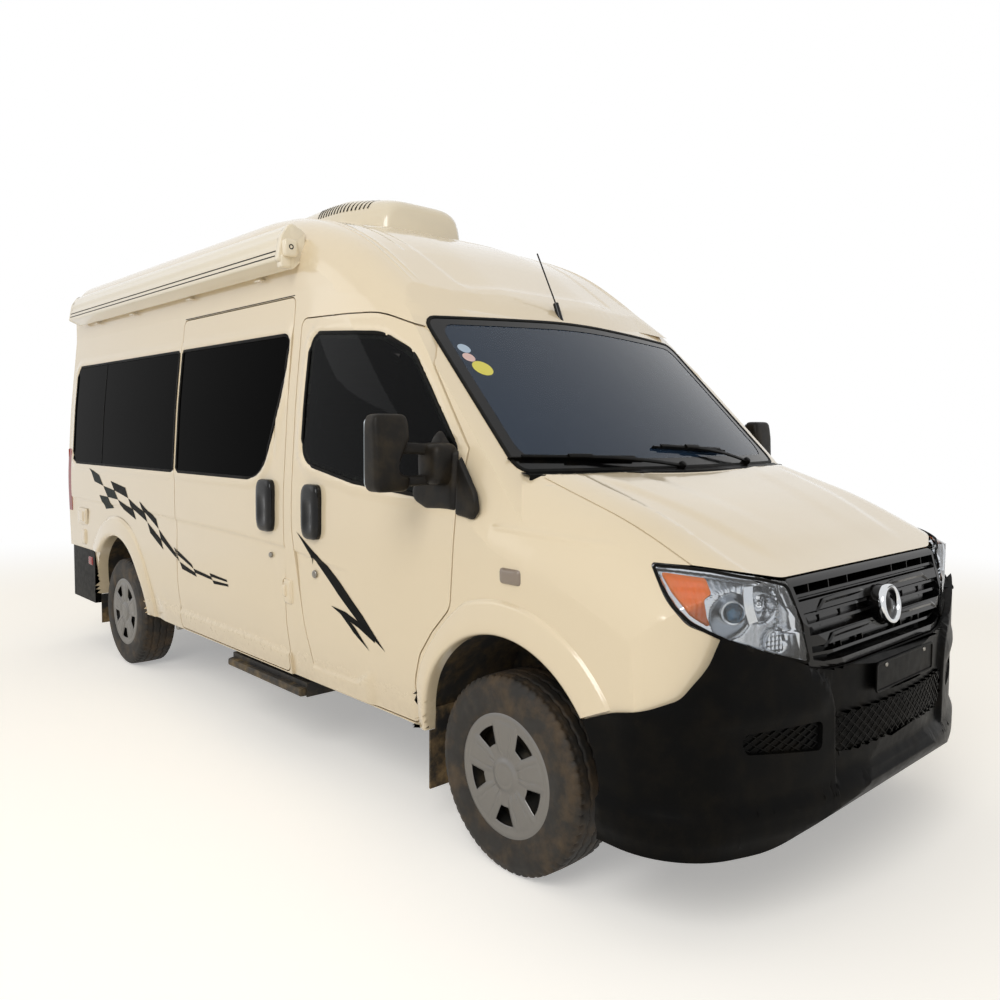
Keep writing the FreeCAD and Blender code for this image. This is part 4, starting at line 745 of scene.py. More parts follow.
middle_mesh = rounded([(-385, 530, 30), (385, 530, 30), (405, 652, 30), (-405, 652, 30)]) / 1000
vent_mesh = rounded([(480, 560, 20), (760, 590, 20), (790, 650, 25), (480, 650, 20)]) / 1000
vent_right = vent_mesh * (-1, 1)
joined("bumper_mesh", lattice(middle_mesh, 0.026, 0.62, 0.0035, 0.003)
       + lattice(vent_mesh, 0.022, 0.50, 0.004, 0.003) + lattice(vent_right, 0.022, 0.50, 0.004, 0.003),
       satin_bumper, "body")


# ---- wheels and tyres
TYRE = np.array([(0.205, -0.0935), (0.213, -0.1010), (0.240, -0.1062), (0.263, -0.1072), (0.300, -0.1042),
        (0.318, -0.0985), (0.330, -0.0920), (0.3375, -0.0840)])


def zigzag(turn, count):
    """Triangle wave from -1 to 1, `count` times round the wheel."""
    share = (turn * count / (2 * math.pi)) % 1.0
    return 4 * np.abs(share - 0.5) - 1


def tyre(name, centre, side, body):
    """Tyre as a surface of two parameters, round the axle and across its section.

    The section is the two sidewalls joined by a slightly crowned tread. The tread is cut 7 mm deep by
    three zigzag grooves, and its shoulders by notches, as far as the sidewall's top.
    """
    crown = np.stack([0.3375 + 0.0025 * (1 - (np.linspace(-0.08, 0.08, 45) / 0.08) ** 2),
            np.linspace(-0.08, 0.08, 45)], -1)
    section = np.vstack([even(TYRE, 0.007, False), crown, even(TYRE[::-1] * (1, -1), 0.007, False)])
    turn = np.linspace(0, 2 * math.pi, 240, endpoint=False)[:, None]
    radius, level = section[:, 0][None], section[:, 1][None]
    cut = np.zeros((240, len(section)))
    for groove in (-0.042, 0.0, 0.042):
        cut = np.maximum(cut, 1 - ease(np.abs(level - groove - 0.004 * zigzag(turn, 40)), 0.002, 0.005))
    notch = ease(zigzag(turn, 60), 0.45, 0.7) * ease(np.abs(level), 0.066, 0.070) * ease(radius, 0.318, 0.326)
    cut = np.maximum(cut, notch) * (radius > 0.315)
    ring = 0.0012 * (hump(radius, 0.232, 0.006) + hump(radius, 0.300, 0.005) + hump(radius, 0.290, 0.004))
    radius = radius - 0.006 * cut
    level = level + np.sign(level) * ring
    points = np.stack([centre[0] + radius * np.cos(turn), centre[1] + np.broadcast_to(level, radius.shape),
            centre[2] + radius * np.sin(turn)], -1).reshape(-1, 3)
    thing = piece(name, points, quads(240, len(section), True, False)[:, ::-1], tyre_rubber, body,
            hard=50.0)
    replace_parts(thing, name.replace("dressed_", ""))


def wheel_cover(name, centre, side, body):
    """Five-spoke cover as a height over radius and angle, with five trapezium holes.

    Columns follow the holes' straight sides, so that a hole is a block of missing faces. Each spoke
    stands 4 mm above the valleys beside the holes and carries two curved creases; a raised lip runs
    round the rim and a stepped cap fills the middle.
    """
    radii = np.array([0.0, 0.015, 0.030, 0.034, 0.038, 0.046, 0.050, 0.056, 0.062, 0.070, 0.080, 0.092, 0.104,
            0.108,
            0.118, 0.130, 0.142, 0.155, 0.166, 0.170, 0.176, 0.182, 0.188, 0.194, 0.199, 0.204,
            0.209,
            0.213, 0.2155])
    half_hole = np.arcsin(np.interp(radii, [0.108, 0.170], [0.018, 0.043]) / np.clip(radii, 0.108, 0.170))
    hole = np.linspace(-1, 1, 9)[1:-1]
    spoke = np.linspace(-1, 1, 25)
    sector = math.radians(36.0)
    half_spoke = sector - half_hole
    angle = np.concatenate([spoke * half_spoke[:, None], sector + hole * half_hole[:, None]], 1)
    columns = angle.shape[1]
    across = np.concatenate([np.broadcast_to(spoke, (len(radii), 25)), np.full((len(radii), 7), 2.0)], 1)
    base = np.interp(radii, [0.0, 0.030, 0.034, 0.038, 0.046, 0.050, 0.062, 0.104, 0.155, 0.182, 0.188, 0.199,
            0.209,
            0.2155],
            [0.1035, 0.1035, 0.1022, 0.1032, 0.1030, 0.1010, 0.0960, 0.0975, 0.0995, 0.0985, 0.1000,
            0.1022,
            0.1005, 0.0975])[:, None]
    lift = 0.004 * (1 - ease(np.abs(across), 0.72, 0.98)) * ease(radii, 0.060, 0.085)[:, None]
    lift = lift * (1 - ease(radii, 0.178, 0.190))[:, None]
    bend = 0.42 + 0.14 * ((radii - 0.07) / 0.12)[:, None]
    crease = -0.0022 * hump(np.abs(across), bend,
            0.16) * (ease(radii, 0.058, 0.066) * (1 - ease(radii, 0.176, 0.184)))[:, None]
    height = np.concatenate([base + lift + crease] * 5, 1)
    turn = np.concatenate([angle + 2 * sector * k for k in range(5)], 1)
    along = centre[0] + radii[:, None] * np.sin(turn)
    up = centre[2] + radii[:, None] * np.cos(turn)
    out = centre[1] + side * height
    faces = quads(len(radii), columns * 5, False, True)
    row, column = np.divmod(np.arange(len(faces)), columns * 5)
    open_here = (radii[row] >= 0.1079) & (radii[row] < 0.1699) & (column % columns >= 24)
    mesh = bpy.data.meshes.new(name)
    mesh.from_pydata(np.stack([along, out, up], -1).reshape(-1, 3).tolist(), [], faces[~open_here].tolist())
    outward(mesh)
    if mesh.polygons[0].normal[1] * side < 0:
        mesh.flip_normals()
    thing = shown(name, mesh, cover_silver, body, hard=38.0)
    wall = thing.modifiers.new("wall", "SOLIDIFY")
    wall.thickness = 0.003
    return thing


def rim(name, centre, side, body):
    """Pressed steel rim behind the cover: barrel, flanges and a dark disc with its hub."""
    mid = side * 0.1
    profile = [(0.026, 0.055), (0.075, 0.055), (0.088, 0.030), (0.150, 0.044), (0.186, 0.030),
            (0.190, -0.060),
            (0.196, -0.088), (0.207, -0.092), (0.207, -0.097), (0.190, -0.095), (0.180, -0.060),
            (0.180, 0.020),
            (0.150, 0.036), (0.085, 0.020), (0.026, 0.020)]
    profile = np.array(profile) * (1, side)
    points, faces = turned(profile, np.array(centre), (0, 1, 0), 72)
    faces += [[(i + 1) % 72 * 15, i * 15, i * 15 + 14, (i + 1) % 72 * 15 + 14] for i in range(72)]
    barrel = turned(np.array([(0.200, 0.090), (0.206, 0.094), (0.203, 0.080), (0.186, 0.030)]) * (1, side),
            np.array(centre), (0, 1, 0), 72)
    return joined(name, [(points, faces), barrel], under_paint, body)


tyre_rubber = plastic("dusty_tyre_rubber", "1E1B17", 0.7, 6.0, 0.15, 0.55, "5E4B33")
for place, side in (("front_left", LEFT), ("front_right", RIGHT), ("rear_left", LEFT), ("rear_right", RIGHT)):
    hub = np.array(JOINTS[f"wheel_{place}_spin"]["pos_m"])
    tyre("dressed_tyre_" + place, hub, side, "wheel_" + place)
    cover = wheel_cover("cover_" + place, hub, side, "wheel_" + place)
    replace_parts(rim("rim_" + place, hub, side, "wheel_" + place), "wheel_" + place)


# ---- trim on the sides
SIDE_NAME = {RIGHT: "right", LEFT: "left"}


def seal(names, outline, side, width=0.015, height=0.009, out=0.002, spacing=0.025, closed=True):
    """A strip of rounded section carried along a side-view outline, on the outermost of some panels."""
    path = on_side(names, even(outline, spacing, closed), side, out)
    return swept(path, bar(width, height), closed, (0, side, 0))


def blade(line, widths, spacing=0.008):
    """Flat band about a side-view line (ahead, height) in millimetres, its half-width read from a table."""
    middle = even(flat(line), spacing, False)
    run = np.cumsum(np.r_[0, np.linalg.norm(np.diff(middle, axis=0), axis=1)])
    half = np.interp(run / run[-1], np.linspace(0, 1, len(widths)), widths) / 1000
    along = np.gradient(middle, axis=0)
    across = np.stack([-along[:, 1], along[:, 0]], -1) / np.linalg.norm(along, axis=1)[:, None]
    return middle[:, None] + across[:, None] * half[:, None, None] * np.linspace(1, -1, 9)[None, :, None]


def film(grid, side, out, names):
    """Thin film laid on the skin from a grid (rows, columns, 2) of side-view points."""
    rows, columns = grid.shape[:2]
    points = on_side(names, grid.reshape(-1, 2), side, out)
    return points, quads(rows, columns).tolist()


for name, label, side in (("cab_glass_seals", "right", RIGHT), ("cab_glass_seals_left", "left", LEFT)):
    door = "front_door_" + label
    parts = [seal([door, "front_door_glass_" + label], FRONT_GLASS, side)]
    joined(name, parts, seal_rubber, door)
glass_split = [seal(["side_windows"], flat([(-3850, 1285), (-3850, 1942)]), side, 0.006, 0.004, 0.0005,
        closed=False) for side in (RIGHT, LEFT)]
joined("side_glass_seals", [seal(["side_panel_right", "side_windows"], PANEL_GLASS, RIGHT),
        seal(["sliding_door", "side_windows"], SLIDING_GLASS, RIGHT),
        seal(["side_panel_left", "side_windows"], LEFT_GLASS, LEFT)] + glass_split,
       seal_rubber, "body")

# Chequered stripe: nine columns with ribs that lean back, in three rows, dark green at the rear, then black.
STRIPE_TOP = [(-4070, 1250), (-3890, 1210), (-3670, 1180), (-3410, 1150), (-3180, 1080), (-2950, 990),
        (-2690, 850), (-2450, 780), (-2230, 760), (-2030, 750)]
STRIPE_FOOT = [(-3800, 990), (-3650, 1005), (-3480, 1010), (-3270, 960), (-3040, 900), (-2840, 820),
        (-2580, 740), (-2390, 720), (-2180, 710), (-2010, 718)]


def stripe_cells(columns, fine=14):
    """Cells of the stripe in some columns: a point's place blends its column's ribs, then top to foot."""
    top, foot = flat(STRIPE_TOP), flat(STRIPE_FOOT)
    parts = []
    for column in columns:
        share = np.linspace(0, 1, fine + 1)[:, None]
        upper = top[column] * (1 - share) + top[column + 1] * share
        lower = foot[column] * (1 - share) + foot[column + 1] * share
        for row in range(3):
            if (row + column) % 2:
                continue
            down = np.linspace(row / 3, (row + 1) / 3, 9)[None, :, None]
            grid = upper[:, None] * (1 - down) + lower[:, None] * down
            parts.append(film(grid, RIGHT, 0.0015, ["side_skin_right", "sliding_door_skin"]))
    return parts


joined("stripe_green", stripe_cells([0, 1]), vinyl_green, "body")
joined("stripe_black", stripe_cells(range(2, 9)), vinyl_black, "body")

# Jagged stroke on the cab door: a long blade, a barb near its top, and a branch that splits in two.
STROKE = [([(-1310, 1062), (-1180, 975), (-1000, 868), (-820, 752), (-650, 645)], [0, 20, 27, 22, 0]),
          ([(-1195, 925), (-1188, 985)], [0, 9]),
          ([(-1040, 770), (-930, 748), (-830, 722), (-715, 682)], [0, 13, 12, 14]),
          ([(-975, 757), (-890, 712), (-760, 628)], [4, 13, 0])]
joined("cab_door_stroke", [film(blade(line, widths), RIGHT, 0.0016 + 0.0001 * k, ["front_door_skin_right"])
        for k, (line, widths) in enumerate(STROKE)], vinyl_black, "front_door_right")


# ---- door handles, lock, hinges, small lamps
def superbox(centre, half, square=(0.35, 0.45), rows=28, columns=48, axes=None):
    """Rounded box: powers of the sines and cosines of two angles, scaled to its half-sizes."""
    lift = np.linspace(-math.pi / 2, math.pi / 2, rows)[:, None]
    turn = np.linspace(0, 2 * math.pi, columns, endpoint=False)[None]

    def power(value, exponent):
        return np.sign(value) * np.abs(value) ** exponent

    ring = power(np.cos(lift), square[0])
    local = np.stack([ring * power(np.cos(turn), square[1]) * half[0],
            ring * power(np.sin(turn), square[1]) * half[1],
            np.broadcast_to(power(np.sin(lift), square[0]), (rows, columns)) * half[2]], -1)
    if axes is not None:
        local = local @ np.asarray(axes, float)
    return (np.asarray(centre) + local).reshape(-1, 3), quads(rows, columns, False, True).tolist()


def handle(name, centre, half, side, body):
    """Grab handle as a rounded block, with a hollow pressed along its outer face by a smooth bump."""
    points, faces = superbox(at([centre])[0], half, (0.45, 0.5), 40, 48)
    middle = at([centre])[0]
    out = (points[:, 1] - middle[1]) * side
    hollow = hump(points[:, 2], middle[2] - 0.02,
            0.17) * (1 - ease(np.abs(points[:, 0] - middle[0]), 0.016, 0.036))
    points[:, 1] -= side * 0.011 * hollow * (out > 0.010)
    return joined(name, [(points, faces)], gloss_abs, body, 50.0)


handle("cab_handle_right", (-1167, -998, 1160), (0.068, 0.030, 0.120), RIGHT, "front_door_right")
handle("cab_handle_left", (-1167, 998, 1160), (0.068, 0.030, 0.120), LEFT, "front_door_left")
handle("sliding_handle", (-1577, -998, 1162), (0.072, 0.030, 0.122), RIGHT, "body")


def disc_on_side(x, z, radius, side, out, names):
    """Shallow dome of revolution on the skin, 3 mm proud."""
    y = on_side(names, flat([(x, z)]), side, out)[0]
    profile = [(0.0, 0.0035), (radius * 0.55, 0.0032), (radius * 0.9, 0.0022), (radius, 0.0),
            (radius, -0.004)]
    return turned(profile, y, (0, side, 0), 32)


for side in (RIGHT, LEFT):
    door = "front_door_" + SIDE_NAME[side]
    x_lock = -1170
    lock = [disc_on_side(x_lock, 888, 0.017, side, 0.0, [door]),
            disc_on_side(x_lock, 888, 0.009, side, 0.003, [door])]
    joined("cab_lock_" + SIDE_NAME[side], lock, dull_steel, door)
lock = [disc_on_side(-1560, 930, 0.013, RIGHT, 0.0, ["sliding_door"])]
joined("sliding_lock", lock, dull_steel, "body")


def on_skin(corners, side, height, names, crown=0.3):
    """Raised cushion-shaped plate: an outline's rings, each higher than the last by a quarter-circle rule.

    Without names it is laid on the sides' plain curve, so that gaps beneath it don't show through.
    """
    outline = side_outline(corners, 5)
    points, faces, share = patch(outline, 12, 0.010)
    rise = height * np.sqrt(np.clip(1 - share ** (2 / crown), 0, 1))
    if names:
        laid = on_side(names, points, side, 0.0)
    else:
        laid = np.stack([points[:, 0], side * np.interp(points[:, 1], SKIN_HEIGHTS, SKIN_HALVES),
                points[:, 1]], -1)
    laid[:, 1] += side * (rise - 0.002)
    return laid, faces


catch = [on_skin([(-1440, 838, 8), (-1362, 838, 8), (-1362, 722, 12), (-1432, 722, 12)], RIGHT, 0.014,
        ["side_panel_right", "sliding_door", "cab_frame"]),
         on_skin([(-1428, 815, 6), (-1398, 815, 6), (-1398, 752, 6), (-1424, 752, 6)], RIGHT, 0.021,
        ["side_panel_right", "sliding_door", "cab_frame"])]
joined("pillar_catch", catch, cream_paint, "body")
for side in (RIGHT, LEFT):
    panel = ["side_panel_" + SIDE_NAME[side]]
    covers = [on_skin([(-4350, 965, 12), (-4160, 965, 12), (-4165, 855, 12), (-4345, 845, 12)], side, 0.013,
            panel),
              on_skin([(-4300, 950, 8), (-4200, 950, 8), (-4200, 870, 8), (-4300, 870, 8)], side, 0.020,
            panel),
              on_skin([(-4290, 820, 12), (-4195, 820, 12), (-4200, 712, 16), (-4284, 712, 16)], side, 0.014,
            panel)]
    joined("hinge_covers_" + SIDE_NAME[side], covers, cream_paint, "body")
    repeater = [on_skin([(15, 1062, 12), (115, 1062, 12), (115, 1008, 12), (15, 1008, 12)], side, 0.014,
            ["front_wings"], 0.6)]
    joined("side_repeater_" + SIDE_NAME[side], repeater, smoked_lens, "body")
    reflector = [on_skin([(-4160, 640, 8), (-4070, 640, 8), (-4070, 582, 8), (-4160, 582, 8)], side, 0.008,
            ["rear_bumper"], 0.5)]
    joined("side_reflector_" + SIDE_NAME[side], reflector, red_lens, "body")

rail_line = flat([(-2640, 2122), (-1440, 2122)])
joined("sliding_rail_line", [seal(["side_panel_right", "sliding_door", "roof_shell"], rail_line, RIGHT, 0.005,
        0.004,
        -0.001, closed=False)], seal_rubber, "body")


# ---- door mirrors
def mirror_parts():
    """Right-hand mirror: a rounded-box head, notched at its inner side, two arms and a hooded base.

    The head is a superellipsoid. Inside the notch's height its inner side is drawn back by half an ellipse.
    """
    head, faces = superbox(at([(-335, -1197, 1434)])[0], (0.045, 0.0745, 0.134), (0.28, 0.36), 56, 72)
    notch = np.sqrt(np.clip(1 - ((head[:, 2] - 1.391) / 0.040) ** 2, 0, 1))
    inner = ease(head[:, 1], -1.185, -1.130)
    head[:, 1] -= 0.050 * notch * inner
    head[:, 0] -= 0.012 * ease(head[:, 2], 1.43, 1.56) * (head[:, 0] > AXLE - 0.335)
    upper = swept(at([(-345, -1145, 1450), (-330, -1090, 1449), (-318, -1040, 1444), (-305, -1000, 1432)]),
            bar(0.058, 0.040), False, (0, 0, 1))
    lower = swept(at([(-345, -1150, 1337), (-330, -1095, 1335), (-318, -1040, 1338), (-305, -1000, 1350)]),
            bar(0.058, 0.036), False, (0, 0, 1))
    base = superbox(at([(-292, -1010, 1394)])[0], (0.062, 0.056, 0.076), (0.5, 0.5), 32, 40)
    return (head, faces), [upper, lower, base]


def sail(side):
    """Black corner piece: a cushion plate over the glass's front corner and the door's edge."""
    corners = [(-480, 1262, 40), (-330, 1530, 30), (-262, 1462, 20), (-214, 1440, 6), (-212, 1232, 6),
            (-380, 1226, 60)]
    return on_skin(corners, side, 0.017, None, 0.16)


def wing_wedge(side):
    """The corner piece carried on over the wing, its front a rounded point."""
    corners = [(-205, 1432, 6), (-178, 1398, 60), (-104, 1300, 60), (-88, 1240, 30), (-118, 1206, 25),
            (-205, 1216, 4)]
    return on_skin(corners, side, 0.017, None, 0.16)


head, arms = mirror_parts()
for side in (RIGHT, LEFT):
    door = "front_door_" + SIDE_NAME[side]
    turn = (lambda part: part) if side == RIGHT else mirrored
    cover = joined("mirror_head_" + SIDE_NAME[side],
            [turn(head)] + [turn(arm) for arm in arms] + [sail(side)],
            mirror_abs, door, 45.0)
    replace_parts(cover, "door_mirror_" + SIDE_NAME[side])
    glass_face = rounded([(-1262, 1310, 22), (-1160, 1310, 22), (-1146, 1340, 12), (-1160, 1391, 20),
            (-1146, 1440, 12),
            (-1132, 1470, 18), (-1132, 1556, 18), (-1262, 1556, 22)]) / 1000
    place = np.stack([np.full(len(glass_face), AXLE - 0.3806), glass_face[:, 0] * -side, glass_face[:, 1]],
            -1)
    joined("mirror_glass_" + SIDE_NAME[side], [slab(glass_face, place, 0.004, (-1, 0, 0))], mirror_silver,
           door)
    joined("mirror_wedge_" + SIDE_NAME[side], [wing_wedge(side)], mirror_abs, "body", 45.0)


# ---- windscreen: border, wipers, stickers
SCREEN_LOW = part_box("windscreen")[0]
SCREEN_OUTLINE = [(-846, SCREEN_LOW[2] * 1000 + 6, 40), (846, SCREEN_LOW[2] * 1000 + 6, 40), (808, 1960, 55),
        (0, 1996, 4500), (-808, 1960, 55)]
SCREEN_CLEAR = [(-795, SCREEN_LOW[2] * 1000 + 42, 60), (795, SCREEN_LOW[2] * 1000 + 42, 60), (758, 1932, 60),
        (0, 1962, 4500), (-758, 1932, 60)]
RAKE = np.array([0.70, 0.0, 0.714])


def on_screen(points, out):
    """Front-view points (left, height) in metres laid on the windscreen, then moved out across its rake."""
    x = drape(["windscreen"], points, 0, 1.0)
    return np.stack([x, points[:, 0], points[:, 1]], -1) + RAKE * out


def same_count(corners, count):
    """Rounded outline in metres with a fixed number of evenly spread points, starting below the middle."""
    line = rounded(corners, 10) / 1000
    line = np.roll(line, -int(np.argmin(np.abs(line[:, 0]) + (line[:, 1] - line[:, 1].min()) * 9)), 0)
    along = np.r_[0, np.cumsum(np.linalg.norm(np.diff(np.vstack([line, line[:1]]), axis=0), axis=1))]
    wanted = np.linspace(0, along[-1], count, endpoint=False)
    closed = np.vstack([line, line[:1]])
    return np.stack([np.interp(wanted, along, closed[:, k]) for k in range(2)], -1)


def screen_border():
    """Black fired-on border: a grid between the glass's outline and the clear part's, laid on the glass."""
    outer, inner = same_count(SCREEN_OUTLINE, 260), same_count(SCREEN_CLEAR, 260)
    share = np.linspace(0, 1, 5)[:, None, None]
    grid = outer[None] * (1 - share) + inner[None] * share
    return on_screen(grid.reshape(-1, 2), 0.0022), quads(5, 260, False, True)[:, ::-1].tolist()


screen_seal = swept(on_screen(same_count(SCREEN_OUTLINE, 240), 0.001), bar(0.016, 0.009), True, RAKE)
joined("screen_border", [screen_border()], gloss_abs, "body")
joined("screen_seal", [screen_seal], seal_rubber, "body", 50.0)


def cowl_strip():
    """Plenum strip at the glass's foot: it follows the foot's arc and has a rolled front edge."""
    y = np.linspace(-0.845, 0.845, 81)[:, None]
    foot = AXLE + 0.077 - 0.114 * (y / 0.867) ** 2
    run = np.array([-0.012, 0.0, 0.012, 0.024, 0.031, 0.034, 0.033])[None]
    drop = np.array([0.010, 0.006, 0.0045, 0.004, 0.002, -0.004, -0.016])[None]
    ribs = 0.0015 * (1 - np.abs((y / 0.03) % 2 - 1)) * ease(run, 0.0, 0.006)
    points = np.stack([foot + run, y + 0 * run, SCREEN_LOW[2] - 0.006 + drop + ribs], -1)
    return points.reshape(-1, 3), quads(81, 7).tolist()


joined("scuttle_strip", [cowl_strip()], satin_bumper, "body", 45.0)


def wiper(blade_ends, pivot):
    """One wiper: rubber blade in its slim spine, and a tapering arm bent down to its spindle."""
    blade_line = np.linspace(blade_ends[0], blade_ends[1], 24) / 1000
    middle = blade_line[11]
    rubber = swept(on_screen(blade_line, 0.007), bar(0.007, 0.012), False, RAKE)
    spine = swept(on_screen(blade_line[2:-2] + (0, 0.001), 0.016), bar(0.014, 0.007), False, RAKE)
    start = np.asarray(pivot) / 1000
    share = np.linspace(0, 1, 12)[:, None]
    arm_line = start * (1 - share) + middle * share
    arm_path = on_screen(arm_line, 0.0) + RAKE * (0.018 + 0.010 * np.sin(share * math.pi))
    arm = swept(arm_path, bar(0.016, 0.008), False, RAKE)
    spindle = turned([(0.0, 0.030), (0.012, 0.028), (0.016, 0.020), (0.017, 0.0)], arm_path[0] - RAKE * 0.014,
            RAKE, 24)
    clip = swept(on_screen(blade_line[9:14], 0.021), bar(0.020, 0.010), False, RAKE)
    return [rubber, spine, arm, spindle, clip]


joined("wiper_right", wiper(np.array([(-862, 1412), (-244, 1400)]), (-62, 1366)), satin_bumper, "body",
       45.0)
joined("wiper_left", wiper(np.array([(-135, 1446), (372, 1424)]), (476, 1372)), satin_bumper, "body",
       45.0)


def sticker(name, y, z, radius, finish):
    """Round sticker in the glass's upper corner: a disc laid on it, its height drawn in by the rake."""
    turn = np.linspace(0, 2 * math.pi, 48, endpoint=False)
    ring = np.stack([np.cos(turn), np.sin(turn) * RAKE[0]], -1)
    share = np.linspace(1, 0.25, 4)[:, None, None]
    points = np.array([y, z]) / 1000 + ring[None] * share * radius
    points = np.vstack([points.reshape(-1, 2), np.array([[y, z]]) / 1000])
    faces = quads(4, 48, False, True).tolist() + [[144 + i, 144 + (i + 1) % 48, 192] for i in range(48)]
    thing = joined(name, [(on_screen(points, 0.0009), faces)], finish, "body")
    if thing.data.polygons[0].normal[0] < 0:
        thing.data.flip_normals()


sticker("round_sticker_blue", -722, 1832, 0.026, sticker_blue)
sticker("round_sticker_pink", -728, 1795, 0.025, sticker_pink)
sticker("round_sticker_yellow", -700, 1752, 0.041, sticker_yellow)


# ---- headlamps
LAMP_ALONG, LAMP_OUT = np.array([0.650, 0.760, 0.0]), np.array([0.760, -0.650, 0.0])
LAMP_AXES = np.stack([LAMP_ALONG, LAMP_OUT, (0.0, 0.0, 1.0)])
LAMP_OUTLINE = [(-311, 1120, 6), (-300, 1073, 30), (-276, 1017, 90), (-233, 974, 90), (-179, 945, 120),
        (-118, 915, 200), (15, 868, 300), (172, 819, 8), (145, 935, 250), (99, 1058, 40),
        (9, 1084, 200),
        (-150, 1110, 200), (-230, 1117, 100)]
LAMP_SHIFT = np.array([AXLE * LAMP_ALONG[0], 0.0])


def lamp_plane(rows):
    """Lamp drawing points (along the nose's corner, height) in millimetres, as metres in the lamp's axes."""
    return np.asarray(rows, float)[:, :2] / 1000 + LAMP_SHIFT


def in_lamp(points, depth, names=("headlamps",)):
    """Lamp drawing points laid `depth` behind the lens's outer face, in the van's frame (right side)."""
    right_side = drape(list(names), points, 1, 1.0, LAMP_AXES)
    local = np.stack([points[:, 0], right_side - depth, points[:, 1]], -1)
    return local @ LAMP_AXES


def lamp_dish(u, z, centre, radius, depth):
    """Depth of a parabolic bowl: greatest at its centre, nothing from its rim outwards."""
    share = ((u - LAMP_SHIFT[0] - centre[0] / 1000) ** 2 + (z - centre[1] / 1000) ** 2) / (radius / 1000) ** 2
    return depth * np.clip(1 - share, 0, 1)


def lamp_reflector():
    """Silver inner shell: a shelf 16 mm behind the lens, with three bowls and fine flutes between them."""
    points, faces, share = patch(lamp_plane(rounded(LAMP_OUTLINE, 6)), 34, 0.006)
    u, z = points[:, 0], points[:, 1]
    depth = 0.010 + 0.006 * ease(1 - share, 0, 0.08)
    bowls = np.maximum.reduce([lamp_dish(u, z, (-100, 985), 68, 0.055),
            lamp_dish(u, z, (-6, 1012), 58, 0.045),
            lamp_dish(u, z, (47, 900), 40, 0.022)])
    flutes = 0.0022 * np.abs(((u / 0.009) % 2) - 1) * (bowls < 0.001) * ease(z, 1.02, 1.04)
    step = 0.008 * ease(u - LAMP_SHIFT[0], 0.052, 0.058) * ease(z, 0.915, 0.922)
    return in_lamp(points, depth + bowls + flutes + step), [f[::-1] for f in faces]


def amber_segment():
    """Amber segment at the outer end, its face cut into upright prisms and level steps."""
    outline = rounded([(-288, 1100, 6), (-166, 1088, 6), (-162, 1052, 8), (-186, 1036, 10), (-176, 985, 40),
            (-160, 950, 6), (-228, 992, 60), (-268, 1050, 60)], 5)
    points, faces, share = patch(lamp_plane(outline), 16, 0.006)
    u, z = points[:, 0], points[:, 1]
    facet = 0.0020 * np.abs((u / 0.008) % 2 - 1) + 0.0022 * np.abs((z / 0.013) % 2 - 1)
    return in_lamp(points, 0.0075 + facet + 0.006 * ease(share, 0.9, 1.0)), [f[::-1] for f in faces]


def fluted_bowl():
    """Small quarter-round lamp: a shallow bowl with a net of fine square bosses."""
    outline = rounded([(12, 886, 6), (22, 922, 26), (66, 926, 10), (80, 866, 6), (50, 866, 20)], 6)
    points, faces, share = patch(lamp_plane(outline), 12, 0.0045)
    u, z = points[:, 0], points[:, 1]
    boss = 0.003 * np.abs((u / 0.007) % 2 - 1) * np.abs((z / 0.007) % 2 - 1)
    return in_lamp(points, 0.012 + boss), [f[::-1] for f in faces]


def lamp_frame():
    """Dark frame between the lens and the paint."""
    outline = lamp_plane(even(rounded(LAMP_OUTLINE, 6), 9.0))
    middle = outline.mean(0)
    inner = outline + (middle - outline) * 0.004 / np.linalg.norm(middle - outline, axis=1)[:, None]
    return swept(in_lamp(inner, 0.0), bar(0.010, 0.007), True, LAMP_OUT)


def lamp_turned(profile, centre, depth, count=48):
    """A turned piece whose axis points out of the lamp, set `depth` behind the lens."""
    place = in_lamp(lamp_plane([centre]), depth)[0]
    return turned(profile, place, LAMP_OUT, count)


def bridge():
    """Chromed web between the two bowls: an upright wedge whose edge catches the light."""
    path = in_lamp(lamp_plane([(-48, 1072), (-50, 1040), (-44, 1000), (-30, 962)]), 0.016)
    return swept(path, bar(0.030, 0.016, 0.15), False, LAMP_OUT)


projector_ball = [(0.0, 0.016), (0.008, 0.0155), (0.016, 0.013), (0.023, 0.008), (0.0275, 0.0)]
projector_ring = [(0.0275, -0.004), (0.029, 0.004), (0.033, 0.006), (0.036, 0.002), (0.037, -0.012),
        (0.034, -0.03)]
high_ring = [(0.000, -0.020), (0.007, -0.006), (0.011, -0.004), (0.013, -0.014), (0.020, -0.020)]
for side in (RIGHT, LEFT):
    turn = (lambda part: part) if side == RIGHT else mirrored
    label = SIDE_NAME[side]
    joined("lamp_reflector_" + label, [turn(lamp_reflector()), turn(bridge())], lamp_silver, "body",
           30.0)
    joined("lamp_amber_" + label, [turn(amber_segment())], amber_lens, "body", 20.0)
    joined("lamp_small_bowl_" + label, [turn(fluted_bowl())], lamp_silver, "body", 20.0)
    joined("lamp_projector_" + label, [turn(lamp_turned(projector_ball, (-88, 990), 0.030))], projector_glass,
           "body")
    joined("lamp_rings_" + label, [turn(lamp_turned(projector_ring, (-88, 990), 0.030)),
            turn(lamp_turned(high_ring, (-6, 1012), 0.020))], bright_chrome, "body")
    joined("lamp_frame_" + label, [turn(lamp_frame())], seal_rubber, "body", 50.0)


